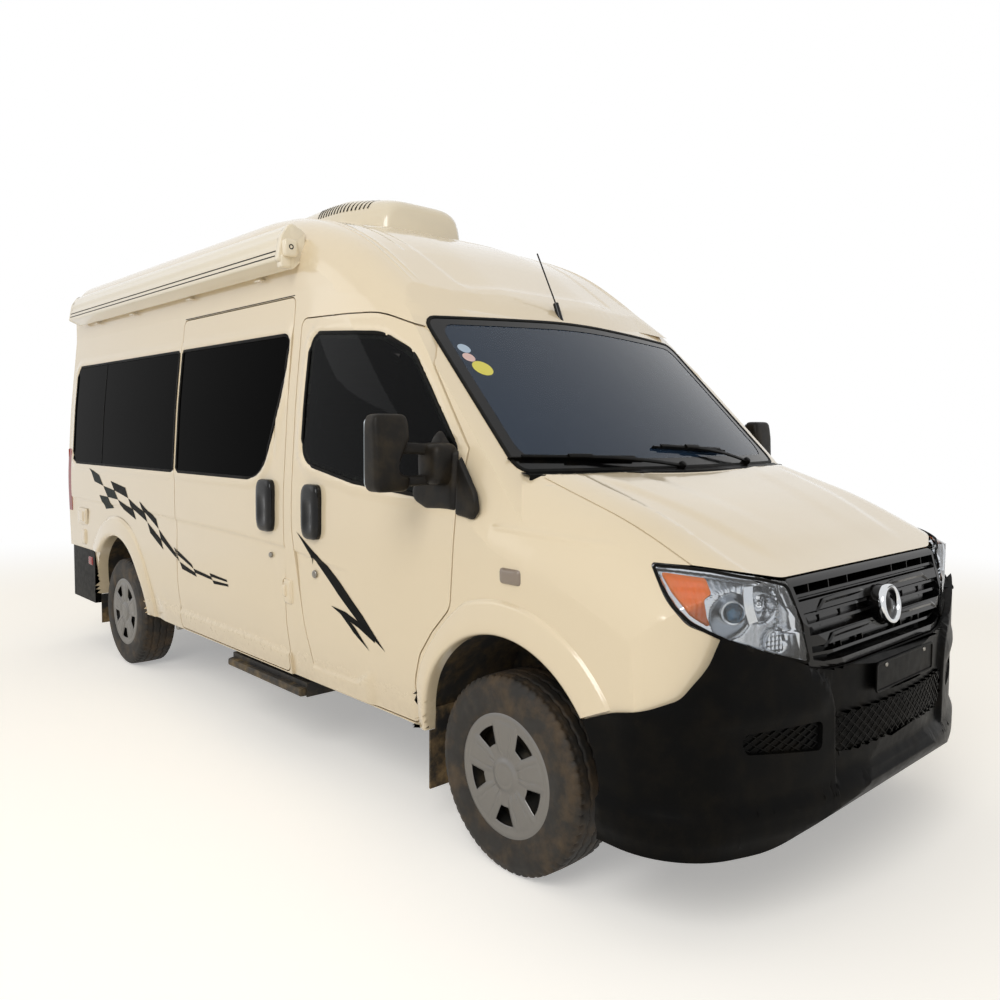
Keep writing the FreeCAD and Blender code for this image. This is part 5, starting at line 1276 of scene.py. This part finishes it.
def lens_skin():
    """The lens: the outer faces of the lamp's solid, those that look out from the middle of the nose."""
    work = bmesh.new()
    work.from_mesh(NODES["headlamps"].data)
    bmesh.ops.remove_doubles(work, verts=work.verts, dist=2e-5)
    hidden = []
    for face in work.faces:
        side = 1.0 if face.calc_center_median().y > 0 else -1.0
        out = Vector((LAMP_OUT[0], -LAMP_OUT[1] * side, 0.0))
        if face.normal.dot(out) < 0.35:
            hidden.append(face)
    bmesh.ops.delete(work, geom=hidden, context="FACES")
    mesh = bpy.data.meshes.new("lamp_lenses")
    work.to_mesh(mesh)
    work.free()
    for stale in ("custom_normal", "sharp_edge", "sharp_face"):
        if stale in mesh.attributes:
            mesh.attributes.remove(mesh.attributes[stale])
    thing = shown("lamp_lenses", mesh, clear_lens, "body", 40.0)
    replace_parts(thing, "headlamps")
    return thing


lens_skin()


# ---- grille and plate
RING = np.array([AXLE + 0.869, 0.0, 0.938])
ring_lean = np.array([0.985, 0.0, 0.17])
badge_ring = [(0.050, -0.004), (0.051, 0.006), (0.056, 0.010), (0.063, 0.009), (0.067, 0.003),
        (0.067, -0.010)]
badge_disc = [(0.0, 0.004), (0.018, 0.003), (0.021, -0.001), (0.036, -0.003), (0.050, -0.003)]
front_of_ring = drape(["grille"], np.array([[0.0, 0.938 + 0.058]]), 0, 1.0)[0]
RING[0] = front_of_ring
joined("plain_badge_ring", [turned(badge_ring, RING, ring_lean, 72)], bright_chrome, "body",
       50.0)
joined("plain_badge_disc", [turned(badge_disc, RING, ring_lean, 72)], gloss_abs, "body", 50.0)


def grille_slats():
    """Short upright slats between the bars, each a thin bar laid a little behind the grille's face."""
    parts = []
    for low, high, stations in ((1008, 1048, (-430, -300, -170, 170, 300, 430)),
            (908, 962, (-380, -240, -120, 120, 240, 380)),
            (828, 862, (-300, -150, 150, 300))):
        for y in stations:
            line = np.array([(y - 6, high), (y + 6, low)]) / 1000
            x = drape(["grille"], line, 0, 1.0)
            path = np.stack([np.full(2, x.max() - 0.010), line[:, 0], line[:, 1]], -1)
            parts.append(swept(path, bar(0.004, 0.020), False, (1, 0, 0)))
    return parts


joined("grille_slats", grille_slats(), gloss_abs, "body")


def grille_gloss():
    """Bright upper faces of the two thick bars: tapering bands that bend down at their ends."""
    parts = []
    for height in (992, 892):
        for side in (RIGHT, LEFT):
            y = np.array([90, 130, 200, 300, 380, 405, 440])
            z = height - np.array([0, 0, 0, 0, 2, 14, 30])
            half = np.array([1, 7, 9, 9, 8, 6, 2])
            share = np.linspace(0, 1, 60)
            yy, zz = (np.interp(share, np.linspace(0, 1, 7), v) for v in (y, z))
            hh = np.interp(share, np.linspace(0, 1, 7), half)
            grid = np.stack([np.stack([yy * side, zz + hh], -1), np.stack([yy * side, zz], -1),
                    np.stack([yy * side, zz - hh], -1)], 1) / 1000
            x = drape(["grille"], grid.reshape(-1, 2), 0, 1.0).reshape(60, 3)
            level = np.sort(x, axis=1)[:, -1:] + np.array([0.0, 0.005, 0.001])
            points = np.stack([level, grid[..., 0], grid[..., 1]], -1)
            parts.append((points.reshape(-1, 3), quads(60, 3).tolist()))
    return parts


joined("grille_bar_faces", grille_gloss(), gloss_abs, "body", 30.0)

plate_outline = rounded([(-220, 692, 12), (220, 692, 12), (220, 782, 12), (-220, 782, 12)], 5) / 1000
plate_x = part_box("front_bumper")[1][0] - 0.010
plate_place = np.stack([np.full(len(plate_outline), plate_x), plate_outline[:, 0], plate_outline[:, 1]], -1)
plate_rim = swept(plate_place, bar(0.008, 0.006), True, (1, 0, 0))
plate_bolts = [turned([(0.0, 0.004), (0.006, 0.003), (0.008, 0.0), (0.008, -0.004)],
        np.array([plate_x, y, 0.770]), (1, 0, 0), 20) for y in (-0.150, 0.150)]
joined("blank_plate", [slab(plate_outline, plate_place, 0.003, (1, 0, 0)), plate_rim], satin_bumper, "body")
joined("plate_bolts", plate_bolts, dull_steel, "body")


# ---- awning
AWNING = [(-888, 2287, 6), (-889, 2403, 20), (-961, 2436, 24), (-1004, 2373, 70), (-1024, 2264, 10),
          (-948, 2231, 12)]
AWNING_FRONT, AWNING_BACK = AXLE - 1.400, AXLE - 4.360


def awning_shell():
    """Extruded case: its section's outer face carries four soft ribs, a sine of 1.5 mm on the outline."""
    line = even(rounded(AWNING, 8), 4.0)
    step = np.roll(line, -1, 0) - np.roll(line, 1, 0)
    outward_way = np.stack([step[:, 1], -step[:, 0]], -1) / np.linalg.norm(step, axis=1)[:, None]
    outward_way *= np.sign((outward_way * (line - line.mean(0))).sum(1))[:, None]
    ribbed = ease(line[:, 1], 2300, 2330) * (1 - ease(line[:, 0], -935, -915))
    line = line + outward_way * (1.5 * np.sin(line[:, 1] / 46 * 2 * math.pi) * ribbed)[:, None]
    x = np.linspace(AWNING_BACK + 0.030, AWNING_FRONT - 0.034, 30)
    points = np.stack([np.broadcast_to(x[:, None], (30, len(line))),
            np.broadcast_to(line[:, 0] / 1000, (30, len(line))),
            np.broadcast_to(line[:, 1] / 1000, (30, len(line)))], -1)
    return points.reshape(-1, 3), quads(30, len(line), False, True).tolist()


def awning_cap(start, end, grow):
    """Moulded end cap: the case's section grown by a rim, its outer edge drawn in on a quarter circle."""
    line = even(rounded(AWNING, 8), 6.0) / 1000
    middle = line.mean(0)
    level = np.array([0.0, 0.15, 0.5, 0.8, 0.93, 1.0, 1.0])
    scale = np.array([1.0, 1.0, 1.0, 1.0, 0.985, 0.95, 0.0]) + grow * np.array([0.0, 1, 1, 1, 1, 1, 0.0])
    x = start + (end - start) * level
    ring = middle + (line - middle)[None] * scale[:, None, None]
    points = np.concatenate([np.broadcast_to(x[:, None, None], (7, len(line), 1)), ring], -1)
    return points.reshape(-1, 3), quads(7, len(line), False, True).tolist()


front_cap = awning_cap(AWNING_FRONT - 0.036, AWNING_FRONT, 0.02)
back_cap = awning_cap(AWNING_BACK + 0.032, AWNING_BACK, 0.02)
hub = superbox((AWNING_FRONT + 0.006, -0.972, 2.318), (0.022, 0.034, 0.040), (0.4, 0.4), 20, 32)
ledge = superbox((AWNING_FRONT - 0.018, -0.985, 2.262), (0.022, 0.026, 0.030), (0.3, 0.3), 20, 32)
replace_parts(joined("awning_shell", [awning_shell()], cap_plastic, "body", 40.0),
        "awning_case")
joined("awning_caps", [front_cap, back_cap, hub, ledge], cap_plastic, "body", 40.0)
socket = turned([(0.0, -0.004), (0.006, -0.004), (0.007, 0.001), (0.011, 0.002), (0.012, -0.001)],
        np.array([AWNING_FRONT + 0.028, -0.974, 2.322]), (1, 0, 0), 24)
joined("awning_crank_socket", [socket], seal_rubber, "body")


def along_van(y, z, width, height, up, start=AWNING_BACK + 0.030, end=AWNING_FRONT - 0.036):
    """Straight strip along the van at one place of its section (millimetres)."""
    path = np.array([(start, y / 1000, z / 1000), ((start + end) / 2, y / 1000, z / 1000),
            (end, y / 1000, z / 1000)])
    return swept(path, bar(width, height), False, up)


joined("awning_gaskets", [along_van(-1016.5, 2306, 0.005, 0.004, (0, -1, 0.2)),
        along_van(-1020.5, 2284, 0.005, 0.004, (0, -1, 0.2))], seal_rubber, "body")
brackets = []
for x in (-1.75, -2.55, -3.40, -4.05):
    path = np.array([(AXLE + x, -0.892, 2.262), (AXLE + x, -0.905, 2.226), (AXLE + x, -0.945, 2.222)])
    brackets.append(swept(path, bar(0.060, 0.006, 0.2), False, (0.0, 0.6, 0.8)))
joined("awning_brackets", brackets, cap_plastic, "body", 50.0)


# ---- roof unit
def unit_cover():
    """Air conditioner's cover: rounded sections across, lofted along the van.

    Half-width and height are read along the length; across, each section runs up a leaning side, round a
    shoulder and over a slightly crowned top, by a superellipse of power 5. A groove runs round at mid height.
    """
    x = np.r_[-1.662, -1.666, -1.676, -1.70, np.linspace(-1.74, -2.56, 30), -2.59, -2.607, -2.616, -2.619]
    half = np.interp(-x, [1.662, 1.676, 1.70, 1.80, 1.95, 2.05, 2.50, 2.60, 2.62],
            [0.235, 0.258, 0.272, 0.318, 0.362, 0.370, 0.370, 0.350, 0.30])
    top = np.interp(-x, [1.662, 1.668, 1.680, 1.72, 2.00, 2.15, 2.50, 2.58, 2.60, 2.62],
            [2.690, 2.712, 2.727, 2.744, 2.787, 2.791, 2.774, 2.760, 2.745, 2.700])
    turn = np.linspace(0, math.pi, 61)[None]
    foot = 2.560
    across = np.sign(np.cos(turn)) * np.abs(np.cos(turn)) ** (2 / 5)
    level = np.abs(np.sin(turn)) ** (2 / 4)
    lean = 1 - 0.10 * level
    y = half[:, None] * across * lean
    z = foot + (top - foot)[:, None] * level
    groove = hump(z, 2.655, 0.010)
    y = y - np.sign(y) * 0.003 * groove * (np.abs(across) > 0.9)
    points = np.stack([np.broadcast_to(x[:, None] + AXLE, y.shape), y, z], -1)
    n = y.shape[1]
    faces = quads(len(x), n)[:, ::-1].tolist()
    faces += [list(range(n)), list(range((len(x) - 1) * n, len(x) * n))[::-1]]
    return points.reshape(-1, 3), faces


unit = joined("roof_unit_cover", [unit_cover()], cap_plastic, "body", 40.0)
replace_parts(unit, "air_conditioner")


def unit_slot_shades():
    """Painted shade of upright air slots in the cover's sides: each slot is a dark strip laid on its shoulder,
    standing for the shade inside it.
    """
    parts = []
    for side in (RIGHT, LEFT):
        for x in np.linspace(-1.80, -2.20, 16):
            z = np.linspace(2.690, 2.748, 6)
            line = np.stack([np.full(6, AXLE + x), z], -1)
            y = drape(["roof_unit_cover"], line, 1, side)
            path = np.stack([line[:, 0] - 0.25 * (z - 2.72), y + side * 0.0005, z], -1)
            parts.append(swept(path, bar(0.009, 0.003), False, (0, side, 0.5)))
    return parts


# dark strips of painted shade where the slots open into the cover
joined("roof_unit_slots", unit_slot_shades(), seal_rubber, "body")


# ---- entry step, flaps and liners
step_low, step_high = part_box("entry_step")


def step_tread():
    """Rubber tread: a rounded board whose top and front edge carry lengthwise ribs, a sine of 2 mm."""
    y0, y1, z0, z1 = step_low[1], step_high[1], step_low[2], step_high[2]
    line = even(rounded([(y0 * 1000, z0 * 1000, 12), (y1 * 1000, z0 * 1000, 4), (y1 * 1000, z1 * 1000, 4),
            (y0 * 1000, z1 * 1000, 14)], 6), 2.5) / 1000
    middle = line.mean(0)
    step = np.roll(line, -1, 0) - np.roll(line, 1, 0)
    way = np.stack([step[:, 1], -step[:, 0]], -1) / np.linalg.norm(step, axis=1)[:, None]
    way *= np.sign((way * (line - middle)).sum(1))[:, None]
    ribs = -0.001 - 0.001 * np.sin(line[:, 0] / 0.016 * 2 * math.pi) * (line[:, 1] > middle[1])
    line = line + way * ribs[:, None]
    x = np.r_[step_low[0], step_low[0] + 0.004, np.linspace(step_low[0] + 0.02, step_high[0] - 0.02, 24),
              step_high[0] - 0.004, step_high[0]]
    scale = np.r_[0.97, 1.0, np.ones(24), 1.0, 0.97]
    ring = middle + (line - middle)[None] * scale[:, None, None]
    points = np.concatenate([np.broadcast_to(x[:, None, None], (28, len(line), 1)), ring], -1)
    n = len(line)
    faces = quads(28, n, False, True).tolist() + [list(range(n)), list(range(27 * n, 28 * n))[::-1]]
    return points.reshape(-1, 3), faces


tread = joined("entry_step_tread", [step_tread()], step_rubber, "entry_step", 45.0)
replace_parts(tread, "entry_step")


# ---- rear doors and lamps
for side in (RIGHT, LEFT):
    label = SIDE_NAME[side]
    glass = rounded([(115, 1292, 50), (788, 1292, 60), (758, 1928, 70), (115, 1928, 50)], 8) / 1000
    ring = even(glass * (side, 1), 0.03)
    path = np.stack([np.full(len(ring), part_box("rear_door_" + label)[0][0] - 0.001), ring[:, 0], ring[:, 1]],
            -1)
    joined("rear_glass_seal_" + label, [swept(path, bar(0.016, 0.008), True, (-1, 0, 0))], seal_rubber,
           "rear_door_" + label)
    hinges = []
    for z in (0.72, 1.16, 2.08):
        place = np.array([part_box("rear_door_" + label)[0][0] + 0.004, side * (0.872 if z < 2 else 0.820), z])
        hinges.append(superbox(place, (0.010, 0.030, 0.045), (0.4, 0.3), 16, 24))
    joined("rear_hinges_" + label, hinges, cream_paint, "rear_door_" + label)
door_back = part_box("rear_door_right")[0][0]
grip = [superbox((door_back - 0.004, -0.050, 1.100), (0.014, 0.028, 0.105), (0.4, 0.4), 28, 36),
        turned([(0.0, 0.004), (0.010, 0.003), (0.012, 0.0), (0.012, -0.006)],
        np.array([door_back - 0.018, -0.050, 1.035]),
        (-1, 0, 0), 24)]
joined("rear_door_grip", grip, gloss_abs, "rear_door_right", 50.0)
plate_back = superbox((door_back - 0.001, -0.300, 0.900), (0.004, 0.165, 0.060), (0.12, 0.10), 16, 40)
joined("rear_blank_plate", [plate_back], satin_bumper, "rear_door_right", 50.0)


def tail_lamp_cells(side):
    """Tail lamp: three stacked cushions, red, clear and amber, whose faces carry upright prisms."""
    low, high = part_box("tail_lamps")
    x_back, x_front = low[0], high[0]
    cells = []
    for bottom, top in ((0.940, 1.090), (1.096, 1.220), (1.226, 1.370)):
        y = np.linspace(0.905, 0.990, 22)[:, None]
        z = np.linspace(bottom, top, 26)[None]
        edge = np.minimum.reduce([np.broadcast_to(y - 0.905, (22, 26)), np.broadcast_to(0.990 - y, (22, 26)),
                np.broadcast_to(z - bottom, (22, 26)), np.broadcast_to(top - z, (22, 26))])
        rise = 0.007 * ease(edge, 0.0, 0.012) + 0.0012 * np.abs((z / 0.010) % 2 - 1)
        points = np.stack([x_back + 0.004 - rise + 0 * y, np.broadcast_to(y * side, (22, 26)),
                np.broadcast_to(z, (22, 26))], -1)
        cells.append((points.reshape(-1, 3), quads(22, 26).tolist()))
    return cells


for side in (RIGHT, LEFT):
    label = SIDE_NAME[side]
    low_cell, middle_cell, high_cell = tail_lamp_cells(side)
    joined("tail_red_" + label, [low_cell], red_lens, "body", 25.0)
    joined("tail_clear_" + label, [middle_cell], smoked_lens, "body", 25.0)
    joined("tail_amber_" + label, [high_cell], amber_lens, "body", 25.0)


# ---- cab: dash, seats, blinds
def dash_cover():
    """Moulded dash: one closed section for each place across, its front edge following the glass's foot.

    The top swells by 9 mm in the middle of each half, and a hood rises 45 mm before the driver.
    """
    rows = []
    for y in np.linspace(-0.868, 0.868, 73):
        front = 77 - 114 * (y / 0.867) ** 2 - 122
        hood = 45 * ease(0.21 - abs(y - 0.43), 0.0, 0.07)
        swell = 9 * math.cos(3.2 * abs(y) - 1.3)
        section = [(front, 1374, 4), (-210, 1402 + swell, 50), (-320, 1436 + swell + hood, 40),
                (-425, 1430 + swell + hood, 30), (-452, 1290, 60), (-420, 1200, 30), (-432, 1090, 50),
                (-345, 975, 50), (-276, 915, 12), (-276, 1250, 12), (-150, 1332, 30)]
        line = rounded(section, 5)
        rows.append(np.stack([line[:, 0], np.full(len(line), y * 1000), line[:, 1]], -1))
    points = at(np.concatenate(rows))
    n = len(rows[0])
    faces = quads(73, n, False, True).tolist() + [list(range(n)), list(range(72 * n, 73 * n))[::-1]]
    return points, faces


def vents():
    """Round outlets in the dash's face, each a turned bezel with a domed middle."""
    profile = [(0.0, 0.002), (0.020, 0.001), (0.026, -0.006), (0.030, -0.006), (0.036, 0.004), (0.041, 0.002),
            (0.042, -0.010)]
    return [turned(profile, at([(-452, y, 1345)])[0], (-1, 0, -0.12), 32) for y in (-740, -90, 90, 760)]


wheel_joint = JOINTS["steering_wheel_turn"]
wheel_hub, wheel_axis = np.array(wheel_joint["pos_m"]), np.array(wheel_joint["axis"])
column = turned([(0.0, -0.33), (0.040, -0.33), (0.038, -0.20), (0.034, -0.09), (0.032, -0.042),
        (0.0, -0.042)],
        wheel_hub, wheel_axis, 32)
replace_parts(joined("dash_cover", [dash_cover(), column], trim_plastic, "body", 40.0),
        "dashboard")
joined("dash_vents", vents(), satin_bumper, "body", 40.0)


def steering_wheel():
    """Rim as a torus whose grip thickens at four places, four flat spokes, and a cushioned boss."""
    one = np.array([0.0, 1.0, 0.0])
    two = np.cross(wheel_axis, one)
    turn = np.linspace(0, 2 * math.pi, 96, endpoint=False)
    spoke = np.cos(turn)[:, None] * one + np.sin(turn)[:, None] * two
    grip = 0.0125 + 0.0022 * np.cos(4 * turn) ** 8
    ring = np.linspace(0, 2 * math.pi, 16, endpoint=False)
    points = (wheel_hub + spoke[:, None] * (0.182 + grip[:, None] * np.cos(ring))[..., None]
              + wheel_axis * (grip[:, None] * np.sin(ring))[..., None])
    parts = [(points.reshape(-1, 3), quads(96, 16, True, True).tolist())]
    for way in (one, -one, two, -two):
        share = np.linspace(0.04, 0.176, 8)[:, None]
        path = wheel_hub + way * share - wheel_axis * (0.010 - 0.010 * (share / 0.176) ** 2)
        parts.append(swept(path, bar(0.030, 0.009), False, wheel_axis))
    boss = [(0.0, 0.006), (0.030, 0.005), (0.050, -0.001), (0.060, -0.012), (0.060, -0.038), (0.0, -0.038)]
    return parts + [turned(boss, wheel_hub, wheel_axis, 40)]


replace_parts(joined("steering_wheel_rim", steering_wheel(), mirror_abs, "steering_wheel", 40.0),
        "steering_wheel")


def pad(centre, half, lean, channels, roll=0.010):
    """Upholstered pad: a superellipsoid that pulls in between its corners, with sewn channels and piping.

    In the pad's own axes (along, across, thick) its sides draw in by a parabola between the corners, the
    upper face is crowned by the product of two parabolas, and each channel is a narrow dip along the pad.
    """
    local, faces = superbox((0, 0, 0), half, (0.30, 0.26), 33, 64)
    share = local / np.asarray(half)
    local[:, 0] *= 1 - 0.035 * (1 - share[:, 1] ** 2)
    local[:, 1] *= 1 - 0.050 * (1 - share[:, 0] ** 2)
    top = ease(share[:, 2], 0.2, 0.9)
    local[:, 2] += roll * top * (1 - share[:, 0] ** 2) * (1 - share[:, 1] ** 2)
    for channel in channels:
        local[:, 2] -= 0.009 * top * hump(share[:, 1], channel,
                0.10) * (1 - ease(np.abs(share[:, 0]), 0.6, 0.9))
    wrinkle = 0.0016 * np.sin(share[:, 0] * 9 + 2 * share[:, 1]) * np.sin(share[:, 1] * 7 - share[:, 0])
    local[:, 2] += wrinkle * top
    axes = np.array([(math.cos(lean), 0.0, math.sin(lean)), (0.0, 1.0, 0.0),
            (-math.sin(lean), 0.0, math.cos(lean))])
    laid = np.asarray(at([centre])[0]) + local @ axes
    loop = laid.reshape(33, 64, 3)[24]
    piping = swept(loop, bar(0.006, 0.006, 0.45, 3), True, axes[2])
    return [(laid, faces), piping]


for side in (RIGHT, LEFT):
    y, label = 430 * side, SIDE_NAME[side]
    cushion = joined("seat_cushion_" + label, pad((-1022, y, 962), (0.232, 0.253, 0.060), 0.06,
            (-0.55, 0.0, 0.55)),
            tan_leather, "body", 60.0)
    backrest = joined("seat_back_" + label, pad((-1304, y, 1292), (0.345, 0.243, 0.056), math.radians(97.6),
            (-0.55, 0.0, 0.55)), tan_leather, "body",
            60.0)
    headrest = joined("headrest_" + label, pad((-1358, y, 1733), (0.095, 0.138, 0.048), math.radians(94), ()),
            tan_leather, "body", 60.0)
seat_frames = []
for side in (RIGHT, LEFT):
    y = 0.430 * side
    seat_frames.append(superbox((AXLE - 1.045, y, 0.750), (0.213, 0.188, 0.155), (0.15, 0.2), 20, 48))
    seat_frames.append(superbox((AXLE - 1.250, y, 0.950), (0.060, 0.235, 0.055), (0.3, 0.3), 16, 40))
    for offset in (-0.06, 0.06):
        stalk = at([(-1352, y * 1000 + offset * 1000, 1600), (-1358, y * 1000 + offset * 1000, 1690)])
        seat_frames.append(swept(stalk, bar(0.012, 0.012, 0.45), False, (1, 0, 0)))
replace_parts(joined("seat_frames", seat_frames, trim_plastic, "body", 40.0), "front_seats")


def blind(side):
    """Pleated blind hanging inside the cab door's glass, its rows folded 5 mm to either side."""
    pleats, foot, inset, half_fold = 15, 1.345, 0.034, 0.005
    columns = np.linspace(-1.238, -0.640, 25)
    head = np.interp(columns, [-1.238, -0.80, -0.64], [1.905, 1.880, 1.815])
    share = np.linspace(0, 1, 2 * pleats + 1)[:, None]
    z = head[None] + (foot - head[None]) * share
    fold = half_fold * np.where(np.arange(2 * pleats + 1) % 2, 1, -1)[:, None]
    y = side * (np.interp(z, SKIN_HEIGHTS, SKIN_HALVES) - inset + fold)
    points = np.stack([np.broadcast_to(columns[None] + AXLE, z.shape), y, z], -1)
    thing = joined("cab_blind_" + SIDE_NAME[side], [(points.reshape(-1, 3), quads(*z.shape).tolist())],
            blind_cloth,
            "front_door_" + SIDE_NAME[side], 10.0)


for side in (RIGHT, LEFT):
    blind(side)


def curtain():
    """Curtain behind the seats, gathered in soft upright folds that deepen towards its hem."""
    head, hem, half_width, behind_axle = 1.965, 0.64, 0.86, 1.470
    across = np.linspace(-half_width, half_width, 261)
    down = np.linspace(head, hem, 24)[:, None]
    depth = 0.010 + 0.012 * (head - down) / 1.3
    fold = np.sin(across * 62 + 0.8 * np.sin(across * 9)) + 0.3 * np.sin(across * 23)
    x = AXLE - behind_axle + depth * fold[None] * 0.8
    points = np.stack([x, np.broadcast_to(across, x.shape), np.broadcast_to(down, x.shape)], -1)
    thing = joined("cab_curtain", [(points.reshape(-1, 3), quads(24, 261).tolist())], curtain_cloth, "body",
            60.0)


curtain()

mirror_way = np.array([(0.985, -0.17, 0.0), (0.17, 0.985, 0.0), (0.0, 0.0, 1.0)])
inside_mirror = superbox(at([(-600, -69, 1872)])[0], (0.016, 0.112, 0.029), (0.35, 0.4), 24, 48, mirror_way)
stalk = swept(at([(-592, -66, 1880), (-585, -60, 1925), (-590, -55, 1966)]), bar(0.018, 0.014), False,
        (1, 0, 0))
joined("inside_mirror", [inside_mirror, stalk], trim_plastic, "body", 45.0)


def loose_sheet(corner, along, size, curl):
    """Sheet of paper on the dash: a rectangle turned in plan, one edge curling up on a parabola."""
    u, v = np.meshgrid(np.linspace(0, 1, 14), np.linspace(0, 1, 10), indexing="ij")
    way = np.array([math.sin(along), math.cos(along)])
    side_way = np.array([-way[1], way[0]])
    plan = np.array(corner) + u[..., None] * way * size[0] + v[..., None] * side_way * size[1]
    level = drape(["dash_cover"], plan.reshape(-1, 2) / 1000 + (AXLE, 0.0), 2, 1.0).reshape(u.shape)
    rise = 0.002 + curl * v ** 2 / 1000 + 0.002 * np.sin(u * 7)
    points = np.stack([plan[..., 0] / 1000 + AXLE, plan[..., 1] / 1000, level + rise], -1)
    return points.reshape(-1, 3), quads(14, 10).tolist()


joined("dash_papers", [loose_sheet((-190, -700, ), 0.10, (270, -95), 22),
        loose_sheet((-175, -460), -0.04, (300, -110), 26),
        loose_sheet((-180, -130), 0.05, (210, -120), 30)], paper, "body", 60.0)
joined("dash_card", [loose_sheet((-200, -745), 0.2, (100, -70), 34)], sticker_pink, "body",
       60.0)
joined("dash_folder", [loose_sheet((-165, 60), 0.06, (300, -110), 14)], smoked_lens, "body",
       60.0)


# ---- finishes of the solids that stay
# The windscreen's finish carries painted reflection in its blue-grey film.
STAYING = {
    "windscreen": screen_glass_with_painted_reflection, "side_windows": privacy_glass, "rear_door_glass_left": privacy_glass,
    "rear_door_glass_right": privacy_glass, "front_door_glass_left": cab_glass,
    "front_door_glass_right": cab_glass,
    "grille": gloss_abs, "tail_lamps": red_lens, "rear_bumper": satin_bumper,
    "aerial": gloss_abs, "wheel_housings": arch_liner,
    "chassis_rails": under_paint, "front_suspension": cast_iron, "front_struts": under_paint,
    "rear_axle": cast_iron,
    "engine_block": cast_iron, "fuel_tank": under_paint, "exhaust": dull_steel, "mud_flaps": mud_rubber,
    "step_housing": under_paint, "floor_pan": under_paint, "knuckle_left": cast_iron,
    "knuckle_right": cast_iron,
}
for node_name, finish in STAYING.items():
    data = NODES[node_name].data
    data.materials.clear()
    data.materials.append(finish)


# ---- floor, light and camera
def studio():
    """Pale floor, even sky, two soft lamps, and the camera at the viewing place."""
    world = bpy.data.worlds.new("studio")
    bpy.context.scene.world = world
    world.use_nodes = True
    tree = world.node_tree
    tree.nodes.clear()
    way = add(tree, "TexCoord").outputs["Generated"]
    height = add(tree, "SeparateXYZ", {0: way}).outputs[2]
    level = add(tree, "MapRange", {0: height, 1: -0.1, 2: 0.9, 3: 0.30, 4: 0.66}).outputs[0]
    sky = add(tree, "Background", {0: colour("FBF6EC"), 1: level})
    plain = add(tree, "Background", {0: (1.0, 1.0, 1.0, 1.0), 1: 1.0})
    path = add(tree, "LightPath")
    mirrored = add(tree, "Math", {0: path.outputs["Is Glossy Ray"], 1: path.outputs["Is Transmission Ray"]},
            operation="MAXIMUM").outputs[0]
    shows = add(tree, "Math", {0: path.outputs["Is Camera Ray"], 1: mirrored}, operation="MAXIMUM").outputs[0]
    seen = add(tree, "MixShader", {0: shows, 1: sky.outputs[0], 2: plain.outputs[0]})
    add(tree, "OutputWorld", {0: seen.outputs[0]})

    floor, tree, mm = begin("pale_studio_floor")
    path = add(tree, "LightPath")
    mirrored = add(tree, "Math", {0: path.outputs["Is Glossy Ray"], 1: path.outputs["Is Transmission Ray"]},
            operation="MAXIMUM").outputs[0]
    seen = add(tree, "Math", {0: path.outputs["Is Camera Ray"], 1: mirrored}, operation="MAXIMUM").outputs[0]
    lit = add(tree, "BsdfDiffuse", {0: colour("F4F1EB")}).outputs[0]
    glow = add(tree, "Emission", {0: (1.0, 1.0, 1.0, 1.0), 1: 0.34}).outputs[0]
    both = add(tree, "AddShader", {0: lit, 1: glow}).outputs[0]
    away = add(tree, "VectorMath", {0: mm, 1: (0.0, 0.0, 0.0)}, operation="DISTANCE").outputs["Value"]
    far = add(tree, "MapRange", {0: away, 1: 4500.0, 2: 9000.0}, interpolation_type="SMOOTHSTEP").outputs[0]
    white = add(tree, "Emission", {0: (1.0, 1.0, 1.0, 1.0), 1: 1.0}).outputs[0]
    shown_floor = add(tree, "MixShader", {0: far, 1: both, 2: white}).outputs[0]
    end(tree, add(tree, "MixShader", {0: seen, 1: lit, 2: shown_floor}).outputs[0])
    mesh = bpy.data.meshes.new("studio_floor")
    mesh.from_pydata([(-30, -30, 0), (30, -30, 0), (30, 30, 0), (-30, 30, 0)], [], [(0, 1, 2, 3)])
    mesh.materials.append(floor)
    ground = bpy.data.objects.new("studio_floor", mesh)
    bpy.context.scene.collection.objects.link(ground)

    for name, place, size, power in (("key", (4.5, -6.0, 5.5), 4.0, 230.0),
            ("fill", (-5.0, -6.5, 4.5), 5.0, 45.0)):
        data = bpy.data.lights.new(name, "AREA")
        data.shape, data.size, data.energy = "DISK", size, power
        lamp = bpy.data.objects.new(name, data)
        lamp.location = place
        lamp.rotation_euler = (Vector((0, 0, 1.0)) - Vector(place)).to_track_quat("-Z", "Y").to_euler()
        bpy.context.scene.collection.objects.link(lamp)

    data = bpy.data.cameras.new("camera")
    data.sensor_width, data.lens = 36.0, 30.985
    data.shift_x, data.shift_y = 0.00518, -0.01928
    camera = bpy.data.objects.new("camera", data)
    yaw, pitch, roll = (math.radians(a) for a in (137.42, -3.2325, 0.295))
    ahead = Vector((math.cos(yaw) * math.cos(pitch), math.sin(yaw) * math.cos(pitch), math.sin(pitch)))
    right = Vector((math.sin(yaw), -math.cos(yaw), 0.0))
    up = right.cross(ahead)
    right, up = (math.cos(roll) * right + math.sin(roll) * up, math.cos(roll) * up - math.sin(roll) * right)
    turn = Matrix((right, up, -ahead)).transposed().to_4x4()
    camera.matrix_world = Matrix.Translation((AXLE + 2.085, -2.920, 1.507)) @ turn
    bpy.context.scene.collection.objects.link(camera)
    bpy.context.scene.camera = camera
    bpy.context.scene.view_settings.view_transform = "Standard"


studio()
